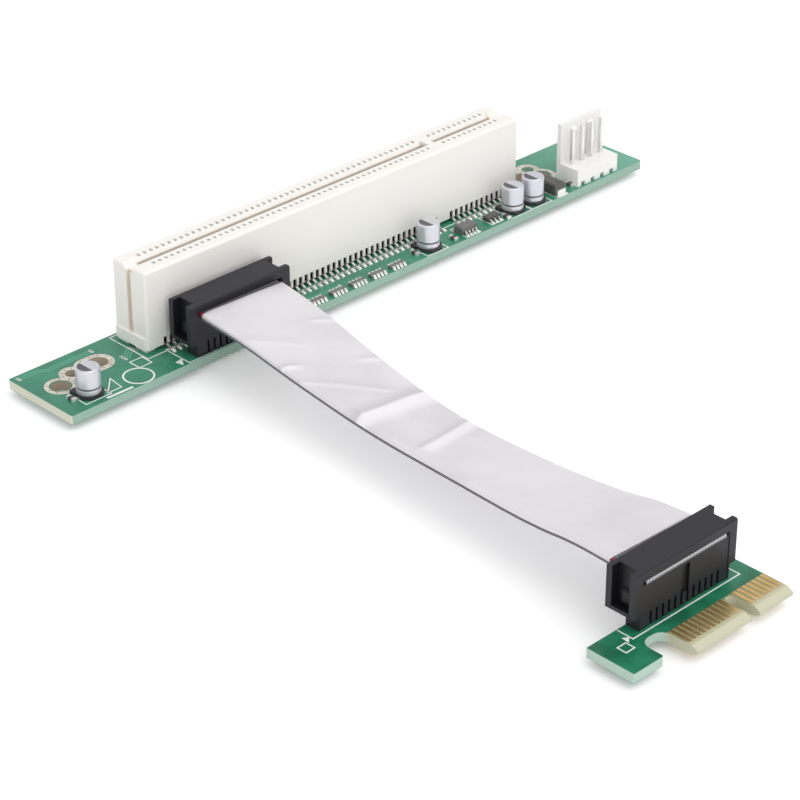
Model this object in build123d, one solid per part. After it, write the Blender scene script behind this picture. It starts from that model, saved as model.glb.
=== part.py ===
"""Flexible riser card: a long riser board with an upright card slot, a ribbon cable and a small edge board.

X runs along the riser board, -Y points from the riser board to the edge board, +Z is up. Both boards stand
on their solder tails at z = 0, and the origin is under the middle of the two boards. Millimetres.
"""

import math
import os

from build123d import *

# Arrangement
REACH = 122.6  # riser board's back edge to the edge connector's front edge
TAIL_PROUD = 1.2  # solder tails below both boards
BOARD_THICKNESS = 1.6
CABLE_SIDE_STEP = 7.0  # edge header to the left of the riser header
JOIN = 0.2  # overlap that fuses a feature with its wall

# Riser board
RIGHT_END_ROOM = 25.81  # from the card slot's right end to the board's end
RISER_WIDTH = 16.0
RISER_CORNER = 0.4

# Mounting holes at each end of the riser board: a bolt hole, a small hole and a long hole
BOLT_HOLE_RADIUS = 1.6
SMALL_HOLE_RADIUS = 1.15
LONG_HOLE_RADIUS = 1.6
LONG_HOLE_LENGTH = 4.9
LEFT_HOLE_SPOTS = ((4.5, 7.5), (8.3, 5.6), (12.7, 5.6))  # from the board's left end and back edge
RIGHT_HOLE_SPOTS = ((8.26, 7.5), (8.06, 4.25), (4.06, 5.6))  # from the slot's right end and the board's back
LAND_RING = 1.0
LAND_THICKNESS = 0.06
LAND_FROM_EDGE = 0.3
LAND_BOLT_MARGIN = 0.25  # the land keeps back from the bolt hole

# Card slot, 32-bit 5 V pattern
CARD_PITCH = 1.27
CARD_POSITIONS = 62
KEY_POSITIONS = (50, 51)
SLOT_END_WALL = 3.685
SLOT_WIDTH = 8.0
SLOT_HEIGHT = 14.3
SLOT_FROM_LEFT = 20.85
SLOT_FROM_BACK = 1.1
SLOT_STANDOFF = 0.5
SLOT_EDGE_ROUND = 0.45
CARD_GAP = 1.85
CARD_DEPTH = 8.6
CARD_END_ROOM = 1.2
CARD_LEAD_IN = 0.75
CONTACT_CHAMBER_HALF_WIDTH = 1.55
CONTACT_CHAMBER_TOP_COVER = 2.3
CAVITY_LENGTH = 0.78
CAVITY_OUTER = 2.6
TOP_OPENING_LENGTH = 0.6
TOP_OPENING_OUTER = 2.3
TOP_OPENING_DEPTH = 2.0
NOTCH_HEIGHT = 1.35
FOOT_LENGTH = 1.9
FOOT_WIDTH = 2.6
END_GROOVE_WIDTH = 0.9
END_GROOVE_DEPTH = 0.7
END_LEDGE_HEIGHT = 2.6
END_LEDGE_PROUD = 0.3
END_LEDGE_BEVEL = 0.18
END_VALLEY_FLOOR = 1.2
END_VALLEY_WIDTH = 2.3
END_VALLEY_DEPTH = 1.1
PEG_RADIUS = 0.8
PEG_LENGTH = 2.0
PEG_FIT = 0.08

# Slot contacts
CONTACT_WIDTH = 0.45
CONTACT_STRIP = 0.24
CONTACT_CARD_REACH = 1.0
CONTACT_TIP_HEIGHT = 9.4
CONTACT_BEND_HEIGHT = 6.4
CONTACT_BLADE_OFFSET = 2.0
CONTACT_EXIT_HEIGHT = 0.5
CONTACT_KNEE = 0.35
CONTACT_FRONT_FOOT = 1.2
CONTACT_FRONT_REACH = 2.25
CONTACT_REAR_REACH = 0.85

# Ribbon headers
HEADER_PITCH = 1.27
HEADER_COLUMNS = 13
HEADER_LENGTH = 21.1
HEADER_DEPTH = 5.2
HEADER_BASE_HEIGHT = 2.3
HEADER_TOP_HEIGHT = 9.25
HEADER_PIN = 0.4
HEADER_PIN_FIT = 0.04
HEADER_PIN_HOLE_RADIUS = 0.34
HEADER_FRONT_ROW = 0.86
COMB_LENGTH = 18.6
COMB_DEPTH = 2.5
COMB_GAP = 0.45
COMB_GAP_DEPTH = 0.42
END_POCKET_DEPTH = 1.5
END_POCKET_WIDTH = 3.2
LATCH_BUMP = 0.45
LATCH_LENGTH = 1.3
LATCH_HEIGHT = 2.6
LATCH_FROM_BASE = 0.8
LATCH_BEVEL = 0.36
POLARITY_SLOT_WIDTH = 1.6
POLARITY_SLOT_DEPTH = 0.5
POLARITY_SLOT_HEIGHT = 4.3
HEADER_SHOULDER = 1.5
FACE_STEP = 0.1
HEADER_EDGE = 0.22
RISER_HEADER_FROM_SLOT = 14.2
RISER_HEADER_FROM_FRONT = 0.42
EDGE_HEADER_FROM_RIGHT = 13.65
EDGE_HEADER_FROM_BACK = 2.5

# Ribbon cable
WIRE_PITCH = 0.635
RIBBON_THICKNESS = 0.7
RIBBON_HEIGHT = 7.45
CHANNEL_SIDE_ROOM = 0.55
CUT_ALLOWANCE = 2.0
FOIL_THICKNESS = 0.1
FOIL_FROM_RISER_HEADER = 0.9
FOIL_FROM_EDGE_HEADER = 2.9
RIBBON_ROUTE = ((12.2, 0.0), (31.2, -2.9), (48.8, -4.4), (66.2, -3.5), (82.3, -2.3), (93.4, 0.0))

# Edge board, widths of the standard one-lane edge connector
FINGER_PITCH = 1.0
FINGER_WIDTH = 0.7
FINGER_THICKNESS = 0.04
FINGERS_NEAR = 11
FINGERS_FAR = 7
FINGER_FRONT_INSET = 1.0
FINGER_LENGTH = 4.3
KEY_NOTCH = 1.9
KEY_NOTCH_DEPTH = 5.2
TONGUE_NEAR = 11.25
TONGUE_FAR = 7.15
TONGUE_CHAMFER = 0.5
EDGE_BOARD_DEPTH = 10.5
HOOK_GAP = 4.5
HOOK_GAP_DEPTH = 6.4
HOOK_WIDTH = 5.9
HOOK_SHORTER = 2.1
HOOK_ROUND = 0.6

# Electrolytic capacitors, spots from the slot's left end and the board's front edge
CAN_DIAMETER = 4.0
CAN_HEIGHT = 4.25
CAN_RIM = 0.35
CAN_GROOVE_HEIGHT = 0.9
CAN_GROOVE_DEPTH = 0.22
CAP_BASE = 4.3
CAP_BASE_HEIGHT = 0.6
CAP_BASE_CHAMFER = 1.0
CAP_LEAD_WIDTH = 0.65
CAP_LEAD_PROUD = 0.35
CAP_LEAD_THICKNESS = 0.2
LONE_CAPACITOR_SPOT = (6.3, 3.7)  # from the board's left end
CAPACITOR_SPOTS = ((58.35, 2.45), (79.15, 2.45), (84.35, 2.5))

# Power header
POWER_PITCH = 2.5
POWER_PINS = 4
POWER_LENGTH = 10.5
POWER_DEPTH = 5.2
POWER_BASE_HEIGHT = 3.2
POWER_PLATE = 0.9
POWER_HEIGHT = 10.7
POWER_PIN = 0.64
POWER_PIN_HEIGHT = 9.9
POWER_PIN_HOLE_RADIUS = 0.5
POWER_NOTCH_WIDTH = 1.0
POWER_NOTCH_HEIGHT = 0.8
POWER_GUIDE_WIDTH = 1.2
POWER_GUIDE_DEPTH = 0.5
POWER_GUIDE_BEVEL = 0.45
POWER_GUIDE_BELOW_TOP = 1.2
POWER_GUIDE_PLACES = (0.3, 0.7)
POWER_NOTCH_DEPTH = 1.2
POWER_PIN_FROM_PLATE = 0.75
POWER_PIN_TAPER = 0.18
POWER_FROM_RIGHT = 6.2
POWER_FROM_FRONT = 0.45

# Flat surface-mount parts: length along X, width along Y, height; spots from the slot's left end
REGULATOR_BODY = (3.7, 2.0, 1.45)
REGULATOR_SPOT = (67.35, 2.35)
REGULATOR_LEADS = 4
REGULATOR_LEAD_PITCH = 0.8
SWITCH_BODY = (2.9, 1.3, 1.0)
SWITCH_SPOT = (73.75, 2.4)
SWITCH_LEADS = 3
SWITCH_LEAD_PITCH = 0.95
LEAD_PROUD = 0.75
LEAD_WIDTH = 0.35
LEAD_THICKNESS = 0.16
DIODE_BODY = (2.6, 4.1, 2.1)
DIODE_PLACE = 0.53  # share of the room between the slot and the power header
DIODE_FROM_FRONT = 2.9
DIODE_TAB_WIDTH = 2.0
DIODE_TAB_PROUD = 0.5
DIODE_TAB_HEIGHT = 1.1
ARRAY_BODY = (3.2, 1.5, 0.5)
ARRAY_FIRST_SPOT = (31.35, 1.2)
ARRAY_SPACING = 4.55
ARRAY_COUNT = 5
ARRAY_CELLS = 4
ARRAY_CELL_WIDTH = 0.5
ARRAY_TERMINAL = 0.3
CHIP_BODY = (0.8, 1.6, 0.55)
CHIP_TERMINAL = 0.35
CHIP_SPOTS = ((54.85, 2.2), (63.55, 1.5), (76.05, 0.9))
LONE_CHIP_SPOT = (3.1, 4.0)  # from the board's left end
HEADER_CHIP_FROM_FRONT = 2.0

# Derived places
BOARD_TOP = TAIL_PROUD + BOARD_THICKNESS
RISER_BACK = REACH / 2
RISER_FRONT = RISER_BACK - RISER_WIDTH
SLOT_SPAN = (CARD_POSITIONS - 1) * CARD_PITCH
SLOT_LENGTH = SLOT_SPAN + 2 * SLOT_END_WALL
RISER_LENGTH = SLOT_FROM_LEFT + SLOT_LENGTH + RIGHT_END_ROOM
RISER_LEFT = -RISER_LENGTH / 2
RISER_RIGHT = RISER_LENGTH / 2
SLOT_LEFT = RISER_LEFT + SLOT_FROM_LEFT
SLOT_RIGHT = SLOT_LEFT + SLOT_LENGTH
SLOT_MIDDLE_X = SLOT_LEFT + SLOT_LENGTH / 2
SLOT_MIDDLE_Y = RISER_BACK - SLOT_FROM_BACK - SLOT_WIDTH / 2
EDGE_WIDTH = TONGUE_NEAR + KEY_NOTCH + TONGUE_FAR
EDGE_FRONT = -REACH / 2
EDGE_BACK = EDGE_FRONT + EDGE_BOARD_DEPTH
RIBBON_WIDTH = 2 * HEADER_COLUMNS * WIRE_PITCH
RISER_HEADER_X = SLOT_LEFT + RISER_HEADER_FROM_SLOT
RISER_HEADER_FRONT = RISER_FRONT + RISER_HEADER_FROM_FRONT
EDGE_HEADER_FRONT = EDGE_BACK - EDGE_HEADER_FROM_BACK
EDGE_HEADER_X = RISER_HEADER_X - CABLE_SIDE_STEP
EDGE_RIGHT = EDGE_HEADER_X + EDGE_HEADER_FROM_RIGHT
POWER_LEFT = RISER_RIGHT - POWER_FROM_RIGHT - POWER_LENGTH
PARTS_ROOM = POWER_LEFT - SLOT_RIGHT
FLAT = (Align.CENTER, Align.CENTER, Align.MIN)


def block(low, high):
    """Box between two opposite corners."""
    size = [b - a for a, b in zip(low, high)]
    middle = [(a + b) / 2 for a, b in zip(low, high)]
    return Pos(*middle) * Box(*size)


def standing(x, y, length, width, height, z=BOARD_TOP):
    """Box centred on (x, y) that stands on level z."""
    return Pos(x, y, z) * Box(length, width, height, align=FLAT)


def strip_outline(path, thickness):
    """Closed outline of a bent strip: the path offset half a thickness to each side, with mitred bends."""
    half = thickness / 2
    sides = ([], [])
    for index, (u, v) in enumerate(path):
        before = path[max(index - 1, 0)]
        after = path[min(index + 1, len(path) - 1)]
        directions = []
        for start, end in ((before, (u, v)), ((u, v), after)):
            length = math.hypot(end[0] - start[0], end[1] - start[1])
            if length > 0:
                directions.append(((end[0] - start[0]) / length, (end[1] - start[1]) / length))
        mean = (sum(d[0] for d in directions), sum(d[1] for d in directions))
        size = math.hypot(*mean)
        normal = (-mean[1] / size, mean[0] / size)
        across = normal[0] * -directions[0][1] + normal[1] * directions[0][0]
        for side, sign in zip(sides, (1, -1)):
            side.append((u + sign * normal[0] * half / across, v + sign * normal[1] * half / across))
    return sides[0] + sides[1][::-1]


def prism_along_x(outline, x, width):
    """Solid with a (y, z) outline, centred on x."""
    return Pos(x, 0, 0) * extrude(Plane.YZ * Polygon(*outline, align=None), width / 2, both=True)


def board(outline, holes):
    """Board of the standard thickness with its holes, above the solder tails."""
    solid = Pos(0, 0, TAIL_PROUD) * extrude(outline, BOARD_THICKNESS)
    drills = [Pos(0, 0, TAIL_PROUD) * extrude(hole, BOARD_THICKNESS) for hole in holes]
    return solid - drills


def card_positions():
    """X of every slot contact, skipping the key."""
    start = SLOT_LEFT + SLOT_END_WALL
    numbers = [n for n in range(1, CARD_POSITIONS + 1) if n not in KEY_POSITIONS]
    return [start + (n - 1) * CARD_PITCH for n in numbers]


def mounting_hole_outlines(side, extra):
    """Bolt, small and long hole outlines at one end of the riser board, grown by extra for their lands."""
    start, spots = (RISER_LEFT, LEFT_HOLE_SPOTS) if side < 0 else (SLOT_RIGHT, RIGHT_HOLE_SPOTS)
    bolt, small, long_hole = [Pos(start + x, RISER_BACK - from_back) for x, from_back in spots]
    long_outline = SlotOverall(LONG_HOLE_LENGTH + 2 * extra, 2 * (LONG_HOLE_RADIUS + extra))
    return [bolt * Circle(BOLT_HOLE_RADIUS + extra), small * Circle(SMALL_HOLE_RADIUS + extra),
            long_hole * long_outline]


def header_pins(middle_x, front_y):
    """Places of a header's two pin rows."""
    first = middle_x - (HEADER_COLUMNS - 1) * HEADER_PITCH / 2
    rows = (front_y + HEADER_FRONT_ROW, front_y + HEADER_FRONT_ROW + HEADER_PITCH)
    return [(first + column * HEADER_PITCH, row) for row in rows for column in range(HEADER_COLUMNS)]


def power_pins():
    """Places of the power header's pins."""
    middle = POWER_LEFT + POWER_LENGTH / 2
    y = RISER_FRONT + POWER_FROM_FRONT + POWER_DEPTH - POWER_PLATE - POWER_PIN - POWER_PIN_FROM_PLATE
    first = middle - (POWER_PINS - 1) * POWER_PITCH / 2
    return [(first + number * POWER_PITCH, y) for number in range(POWER_PINS)]


def slot_pegs():
    """Places of the slot's two locating pegs."""
    return [(SLOT_MIDDLE_X + side * (SLOT_LENGTH / 2 - SLOT_END_WALL / 2), SLOT_MIDDLE_Y) for side in (-1, 1)]


def riser_board():
    outline = Pos(0, RISER_BACK - RISER_WIDTH / 2) * RectangleRounded(RISER_LENGTH, RISER_WIDTH, RISER_CORNER)
    holes = mounting_hole_outlines(-1, 0) + mounting_hole_outlines(1, 0)
    header_spots = header_pins(RISER_HEADER_X, RISER_HEADER_FRONT)
    holes += [Pos(x, y) * Circle(HEADER_PIN_HOLE_RADIUS) for x, y in header_spots]
    holes += [Pos(x, y) * Circle(POWER_PIN_HOLE_RADIUS) for x, y in power_pins()]
    holes += [Pos(x, y) * Circle(PEG_RADIUS + PEG_FIT) for x, y in slot_pegs()]
    return board(outline, holes)


def hole_lands(side):
    """Tinned land round the three merged mounting holes at one end, on the board's top."""
    rings = mounting_hole_outlines(side, LAND_RING)
    land = rings[0] + rings[1] + rings[2]
    land -= mounting_hole_outlines(side, LAND_BOLT_MARGIN)[:1] + mounting_hole_outlines(side, 0)[1:]
    end = side * RISER_LENGTH / 2
    keep = Pos(end - side * RISER_LENGTH / 4, RISER_BACK - RISER_WIDTH / 2)
    land &= keep * Rectangle(RISER_LENGTH / 2 - 2 * LAND_FROM_EDGE, RISER_WIDTH - 2 * LAND_FROM_EDGE)
    return Pos(0, 0, BOARD_TOP) * extrude(land, LAND_THICKNESS)


def slot_shell():
    """Outer body of the slot on four feet, before the card gap and the contact cavities."""
    shell = standing(SLOT_MIDDLE_X, SLOT_MIDDLE_Y, SLOT_LENGTH, SLOT_WIDTH, SLOT_HEIGHT - SLOT_STANDOFF,
                     BOARD_TOP + SLOT_STANDOFF)
    upright = shell.edges().filter_by(Axis.Z)
    top = shell.faces().sort_by(Axis.Z)[-1].edges()
    shell = fillet(upright + top, SLOT_EDGE_ROUND)
    for side in (-1, 1):
        end = SLOT_MIDDLE_X + side * SLOT_LENGTH / 2
        ledge = standing(end, SLOT_MIDDLE_Y, 2 * END_LEDGE_PROUD, SLOT_WIDTH - 2 * SLOT_EDGE_ROUND,
                         END_LEDGE_HEIGHT - SLOT_STANDOFF, BOARD_TOP + SLOT_STANDOFF)
        outer_edge = ledge.faces().sort_by(Axis.Z)[-1].edges().sort_by(Axis.X)[0 if side < 0 else -1]
        shell += chamfer(outer_edge, END_LEDGE_BEVEL)
        shell -= standing(end, SLOT_MIDDLE_Y, 2 * END_GROOVE_DEPTH, END_GROOVE_WIDTH,
                          SLOT_HEIGHT - END_LEDGE_HEIGHT, BOARD_TOP + END_LEDGE_HEIGHT)
        for row in (-1, 1):
            x = end - side * FOOT_LENGTH / 2
            y = SLOT_MIDDLE_Y + row * (SLOT_WIDTH / 2 - SLOT_EDGE_ROUND - FOOT_WIDTH / 2)
            shell += standing(x, y, FOOT_LENGTH, FOOT_WIDTH, SLOT_STANDOFF + JOIN)
    for x, y in slot_pegs():
        peg = Cylinder(PEG_RADIUS, PEG_LENGTH + SLOT_STANDOFF + JOIN, align=FLAT)
        shell += Pos(x, y, BOARD_TOP - PEG_LENGTH) * peg
    return shell


def card_gap():
    """Room for the card: two gaps beside the key, with a lead-in, and the wider contact chamber below."""
    xs = card_positions()
    key_left = SLOT_LEFT + SLOT_END_WALL + (KEY_POSITIONS[0] - 2) * CARD_PITCH
    key_right = SLOT_LEFT + SLOT_END_WALL + KEY_POSITIONS[-1] * CARD_PITCH
    floor = BOARD_TOP + SLOT_HEIGHT - CARD_DEPTH
    top = BOARD_TOP + SLOT_HEIGHT
    half = CARD_GAP / 2
    mouth = half + CARD_LEAD_IN
    lead_in = top - CARD_LEAD_IN
    ceiling = top - CONTACT_CHAMBER_TOP_COVER
    outline = [(-half, floor), (half, floor), (half, lead_in), (mouth, top), (-half, top)]
    outline = [(SLOT_MIDDLE_Y + y, z) for y, z in outline]
    chamber = [(-1, floor), (1, floor), (1, ceiling), (-1, ceiling)]
    chamber = [(SLOT_MIDDLE_Y + y * CONTACT_CHAMBER_HALF_WIDTH, z) for y, z in chamber]
    rooms = []
    for start, end in ((xs[0], key_left), (key_right, xs[-1])):
        middle = (start + end) / 2
        rooms.append(prism_along_x(outline, middle, end - start + 2 * CARD_END_ROOM))
        rooms.append(prism_along_x(chamber, middle, end - start + CAVITY_LENGTH))
    valley = [(0, -END_VALLEY_DEPTH), (END_VALLEY_FLOOR, -END_VALLEY_DEPTH), (END_VALLEY_WIDTH, 0), (0, 0)]
    valley = [(SLOT_MIDDLE_Y - half + y, top + z) for y, z in valley]
    for side in (-1, 1):
        rooms.append(prism_along_x(valley, SLOT_MIDDLE_X + side * SLOT_LENGTH / 2, 2 * SLOT_END_WALL))
    return rooms


def contact_cavities():
    """One cavity for each contact, from the top opening down to its notch in the wall's lower edge."""
    inner = CONTACT_CHAMBER_HALF_WIDTH
    low = BOARD_TOP - 1
    notch = BOARD_TOP + SLOT_STANDOFF + NOTCH_HEIGHT
    top = BOARD_TOP + SLOT_HEIGHT - TOP_OPENING_DEPTH
    cavities = []
    for side in (-1, 1):
        outline = [(inner, low), (SLOT_WIDTH, low), (SLOT_WIDTH, notch), (CAVITY_OUTER, notch),
                   (CAVITY_OUTER, top), (inner, top)]
        outline = [(SLOT_MIDDLE_Y + side * y, z) for y, z in outline]
        opening_middle = SLOT_MIDDLE_Y + side * (inner + TOP_OPENING_OUTER) / 2
        for x in card_positions():
            cavities.append(prism_along_x(outline, x, CAVITY_LENGTH))
            cavities.append(standing(x, opening_middle, TOP_OPENING_LENGTH, TOP_OPENING_OUTER - inner,
                                     SLOT_HEIGHT, top - JOIN))
    return cavities


def pci_slot_housing():
    return slot_shell() - card_gap() - contact_cavities()


def slot_contacts(side):
    """Sprung contacts of one row: spring in the card gap, blade in its cavity, and soldered foot."""
    half_strip = CONTACT_STRIP / 2
    wall = SLOT_WIDTH / 2
    path = [(CONTACT_CARD_REACH, CONTACT_TIP_HEIGHT), (CONTACT_BLADE_OFFSET, CONTACT_BEND_HEIGHT)]
    if side < 0:
        foot = wall + CONTACT_FRONT_REACH
        path += [(CONTACT_BLADE_OFFSET, CONTACT_EXIT_HEIGHT), (wall + CONTACT_KNEE, CONTACT_EXIT_HEIGHT),
                 (foot - CONTACT_FRONT_FOOT, half_strip), (foot, half_strip)]
    else:
        path += [(CONTACT_BLADE_OFFSET, half_strip), (wall + CONTACT_REAR_REACH, half_strip)]
    outline = [(SLOT_MIDDLE_Y + side * y, BOARD_TOP + z) for y, z in strip_outline(path, CONTACT_STRIP)]
    return Compound([prism_along_x(outline, x, CONTACT_WIDTH) for x in card_positions()])


def header_plan(middle_x, front_y):
    """Plan outline of a header: a rectangle with a pocket in each end, where the cover's latches sit."""
    middle_y = front_y + HEADER_DEPTH / 2
    plan = Pos(middle_x, middle_y) * Rectangle(HEADER_LENGTH, HEADER_DEPTH)
    for side in (-1, 1):
        x = middle_x + side * (HEADER_LENGTH / 2 - END_POCKET_DEPTH / 2)
        plan -= Pos(x, middle_y) * Rectangle(END_POCKET_DEPTH, END_POCKET_WIDTH)
    return plan


def ribbon_slot(middle_x, front_y):
    """Channel that the flat cable lies in, right through the header from front to back."""
    half = RIBBON_WIDTH / 2 + CHANNEL_SIDE_ROOM
    low = BOARD_TOP + RIBBON_HEIGHT - RIBBON_THICKNESS / 2
    return block((middle_x - half, front_y - 1, low), (middle_x + half, front_y + HEADER_DEPTH + 1,
                                                        low + RIBBON_THICKNESS))


def header_body(middle_x, front_y):
    """Lower half of a header: comb, pin cavities, end pockets with latch bumps, polarity slot."""
    base = BOARD_TOP + HEADER_BASE_HEIGHT
    seam = BOARD_TOP + RIBBON_HEIGHT + RIBBON_THICKNESS / 2
    body = Pos(0, 0, base) * extrude(header_plan(middle_x, front_y), seam - base)
    body -= ribbon_slot(middle_x, front_y)
    half = HEADER_LENGTH / 2 - HEADER_SHOULDER
    face = front_y + FACE_STEP
    body -= block((middle_x - half, front_y - 1, base - 1), (middle_x + half, face, seam + 1))
    middle_y = front_y + HEADER_DEPTH / 2
    for side in (-1, 1):
        wall = middle_x + side * (HEADER_LENGTH / 2 - END_POCKET_DEPTH)
        x = wall + side * (LATCH_BUMP - JOIN) / 2
        bump = standing(x, middle_y, LATCH_BUMP + JOIN, LATCH_LENGTH, LATCH_HEIGHT, base + LATCH_FROM_BASE)
        outer_face = bump.faces().sort_by(Axis.X)[0 if side < 0 else -1]
        body += chamfer(outer_face.edges().filter_by(Axis.Y), LATCH_BEVEL)
    body += standing(middle_x, front_y + COMB_DEPTH / 2, COMB_LENGTH, COMB_DEPTH, HEADER_BASE_HEIGHT + JOIN)
    body -= block((middle_x - half, front_y - 1, BOARD_TOP - 1), (middle_x + half, face, base + 1))
    gaps = []
    for gap in range(1, HEADER_COLUMNS):
        x = middle_x + (gap - HEADER_COLUMNS / 2) * HEADER_PITCH
        gaps.append(block((x - COMB_GAP / 2, front_y - 1, BOARD_TOP - 1),
                          (x + COMB_GAP / 2, face + COMB_GAP_DEPTH, base)))
    gaps.append(block((middle_x - POLARITY_SLOT_WIDTH / 2, front_y - 1, base - JOIN),
                      (middle_x + POLARITY_SLOT_WIDTH / 2, front_y + POLARITY_SLOT_DEPTH,
                       base + POLARITY_SLOT_HEIGHT)))
    cavity = HEADER_PIN + 2 * HEADER_PIN_FIT
    for x, y in header_pins(middle_x, front_y):
        gaps.append(standing(x, y, cavity, cavity, HEADER_TOP_HEIGHT, BOARD_TOP - 1))
    return body - gaps


def header_cover(middle_x, front_y):
    """Upper half of a header, pressed down on the flat cable."""
    seam = BOARD_TOP + RIBBON_HEIGHT + RIBBON_THICKNESS / 2
    top = BOARD_TOP + HEADER_TOP_HEIGHT
    cover = Pos(0, 0, seam) * extrude(header_plan(middle_x, front_y), top - seam)
    long_edges = cover.faces().sort_by(Axis.Z)[-1].edges().filter_by(Axis.X).group_by(Axis.Y)
    return chamfer(long_edges[0] + long_edges[-1], HEADER_EDGE)


def header_contacts(middle_x, front_y):
    """Straight pins from the cable's underside down to the solder tails."""
    top = BOARD_TOP + RIBBON_HEIGHT - RIBBON_THICKNESS / 2
    pins = header_pins(middle_x, front_y)
    return Compound([standing(x, y, HEADER_PIN, HEADER_PIN, top, 0) for x, y in pins])


def edge_board():
    """Small board: a one-lane edge connector in two tongues and a hooked lobe on its left."""
    left = EDGE_RIGHT - EDGE_WIDTH
    hook_right = left - HOOK_GAP
    hook_left = hook_right - HOOK_WIDTH
    hook_front = EDGE_FRONT + HOOK_SHORTER
    gap_back = EDGE_FRONT + HOOK_GAP_DEPTH
    notch_left = left + TONGUE_NEAR
    notch_right = notch_left + KEY_NOTCH
    outline = make_face(Polyline(
        (hook_left, EDGE_BACK), (hook_left, hook_front), (hook_right, hook_front), (hook_right, gap_back),
        (left, gap_back), (left, EDGE_FRONT), (EDGE_RIGHT, EDGE_FRONT), (EDGE_RIGHT, EDGE_BACK), close=True))
    notch_end = EDGE_FRONT + KEY_NOTCH_DEPTH - KEY_NOTCH / 2
    outline -= Pos((notch_left + notch_right) / 2, (EDGE_FRONT - 1 + notch_end) / 2) * Rectangle(
        KEY_NOTCH, notch_end - EDGE_FRONT + 1)
    outline -= Pos((notch_left + notch_right) / 2, notch_end) * Circle(KEY_NOTCH / 2)
    corners = outline.vertices().filter_by_position(Axis.Y, EDGE_FRONT - 0.01, EDGE_FRONT + 0.01)
    outline = chamfer(corners, TONGUE_CHAMFER)
    inner = outline.vertices().filter_by_position(Axis.Y, gap_back - 0.01, gap_back + 0.01)
    outline = fillet(inner, HOOK_GAP * 0.4)
    hook = outline.vertices().filter_by_position(Axis.X, hook_left - 0.01, hook_right + 0.01)
    hook = hook.filter_by_position(Axis.Y, EDGE_FRONT, hook_front + 0.01)
    outline = fillet(hook, HOOK_ROUND)
    header_spots = header_pins(EDGE_HEADER_X, EDGE_HEADER_FRONT)
    return board(outline, [Pos(x, y) * Circle(HEADER_PIN_HOLE_RADIUS) for x, y in header_spots])


def edge_fingers(level):
    """Gold fingers of one side of the edge connector, lying on the board at the given level."""
    left = EDGE_RIGHT - EDGE_WIDTH
    fingers = []
    far = left + TONGUE_NEAR + KEY_NOTCH
    groups = ((left, TONGUE_NEAR, FINGERS_NEAR), (far, TONGUE_FAR, FINGERS_FAR))
    for start, width, count in groups:
        first = start + width / 2 - (count - 1) * FINGER_PITCH / 2
        for number in range(count):
            fingers.append(standing(first + number * FINGER_PITCH,
                                    EDGE_FRONT + FINGER_FRONT_INSET + FINGER_LENGTH / 2,
                                    FINGER_WIDTH, FINGER_LENGTH, FINGER_THICKNESS, level))
    return Compound(fingers)


def ribbon_plane():
    """Upright plane through both headers' middles: u runs along the cable, v up from the cable's level."""
    start = Vector(RISER_HEADER_X, RISER_HEADER_FRONT + HEADER_DEPTH, BOARD_TOP + RIBBON_HEIGHT)
    end = Vector(EDGE_HEADER_X, EDGE_HEADER_FRONT, BOARD_TOP + RIBBON_HEIGHT)
    along = (end - start).normalized()
    return Plane(origin=start, x_dir=along, z_dir=along.cross(Vector(0, 0, 1))), (end - start).length


def ribbon_path(start, end):
    """Side view of the cable's middle line between two distances along it: runs joined by tangent arcs."""
    points = [(start, 0.0), *RIBBON_ROUTE, (end, 0.0)]
    corners = [Vector(*point) for point in points]
    radii = []
    for before, here, after in zip(corners, corners[1:], corners[2:]):
        turn = math.radians((here - before).get_angle(after - here))
        shorter = min((here - before).length, (after - here).length)
        radii.append(0.45 * shorter / math.tan(turn / 2))
    return points, radii


def cable_bar(width, thickness, across, low, high):
    """Flat bar along the cable's route, shifted across it, cut square between two Y levels."""
    plane, length = ribbon_plane()
    points, radii = ribbon_path(0, length)
    points[0] = (-CUT_ALLOWANCE, 0.0)
    points[-1] = (length + CUT_ALLOWANCE, 0.0)
    middle_line = FilletPolyline(*points, radius=radii)
    start = Plane(origin=middle_line @ 0, x_dir=(0, 0, 1), z_dir=middle_line % 0)
    bar = sweep(start * Rectangle(width, thickness), path=middle_line)
    bar = plane * (Pos(0, 0, across) * bar)
    keep = block((-RISER_LENGTH, low, -1), (RISER_LENGTH, high, BOARD_TOP + SLOT_HEIGHT * 2))
    return bar & keep


def cable_parts():
    """Grey ribbon, red first wire and foil sleeve."""
    low = EDGE_HEADER_FRONT
    high = RISER_HEADER_FRONT + HEADER_DEPTH
    grey = cable_bar(RIBBON_WIDTH - WIRE_PITCH, RIBBON_THICKNESS, WIRE_PITCH / 2, low, high)
    red = cable_bar(WIRE_PITCH, RIBBON_THICKNESS, -(RIBBON_WIDTH - WIRE_PITCH) / 2, low, high)
    sleeve_low = EDGE_HEADER_FRONT + HEADER_DEPTH + FOIL_FROM_EDGE_HEADER
    sleeve_high = RISER_HEADER_FRONT - FOIL_FROM_RISER_HEADER
    outside = cable_bar(RIBBON_WIDTH + 2 * FOIL_THICKNESS, RIBBON_THICKNESS + 2 * FOIL_THICKNESS, 0,
                        sleeve_low, sleeve_high)
    inside = cable_bar(RIBBON_WIDTH, RIBBON_THICKNESS, 0, low, high)
    return grey, red, outside - inside


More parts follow.
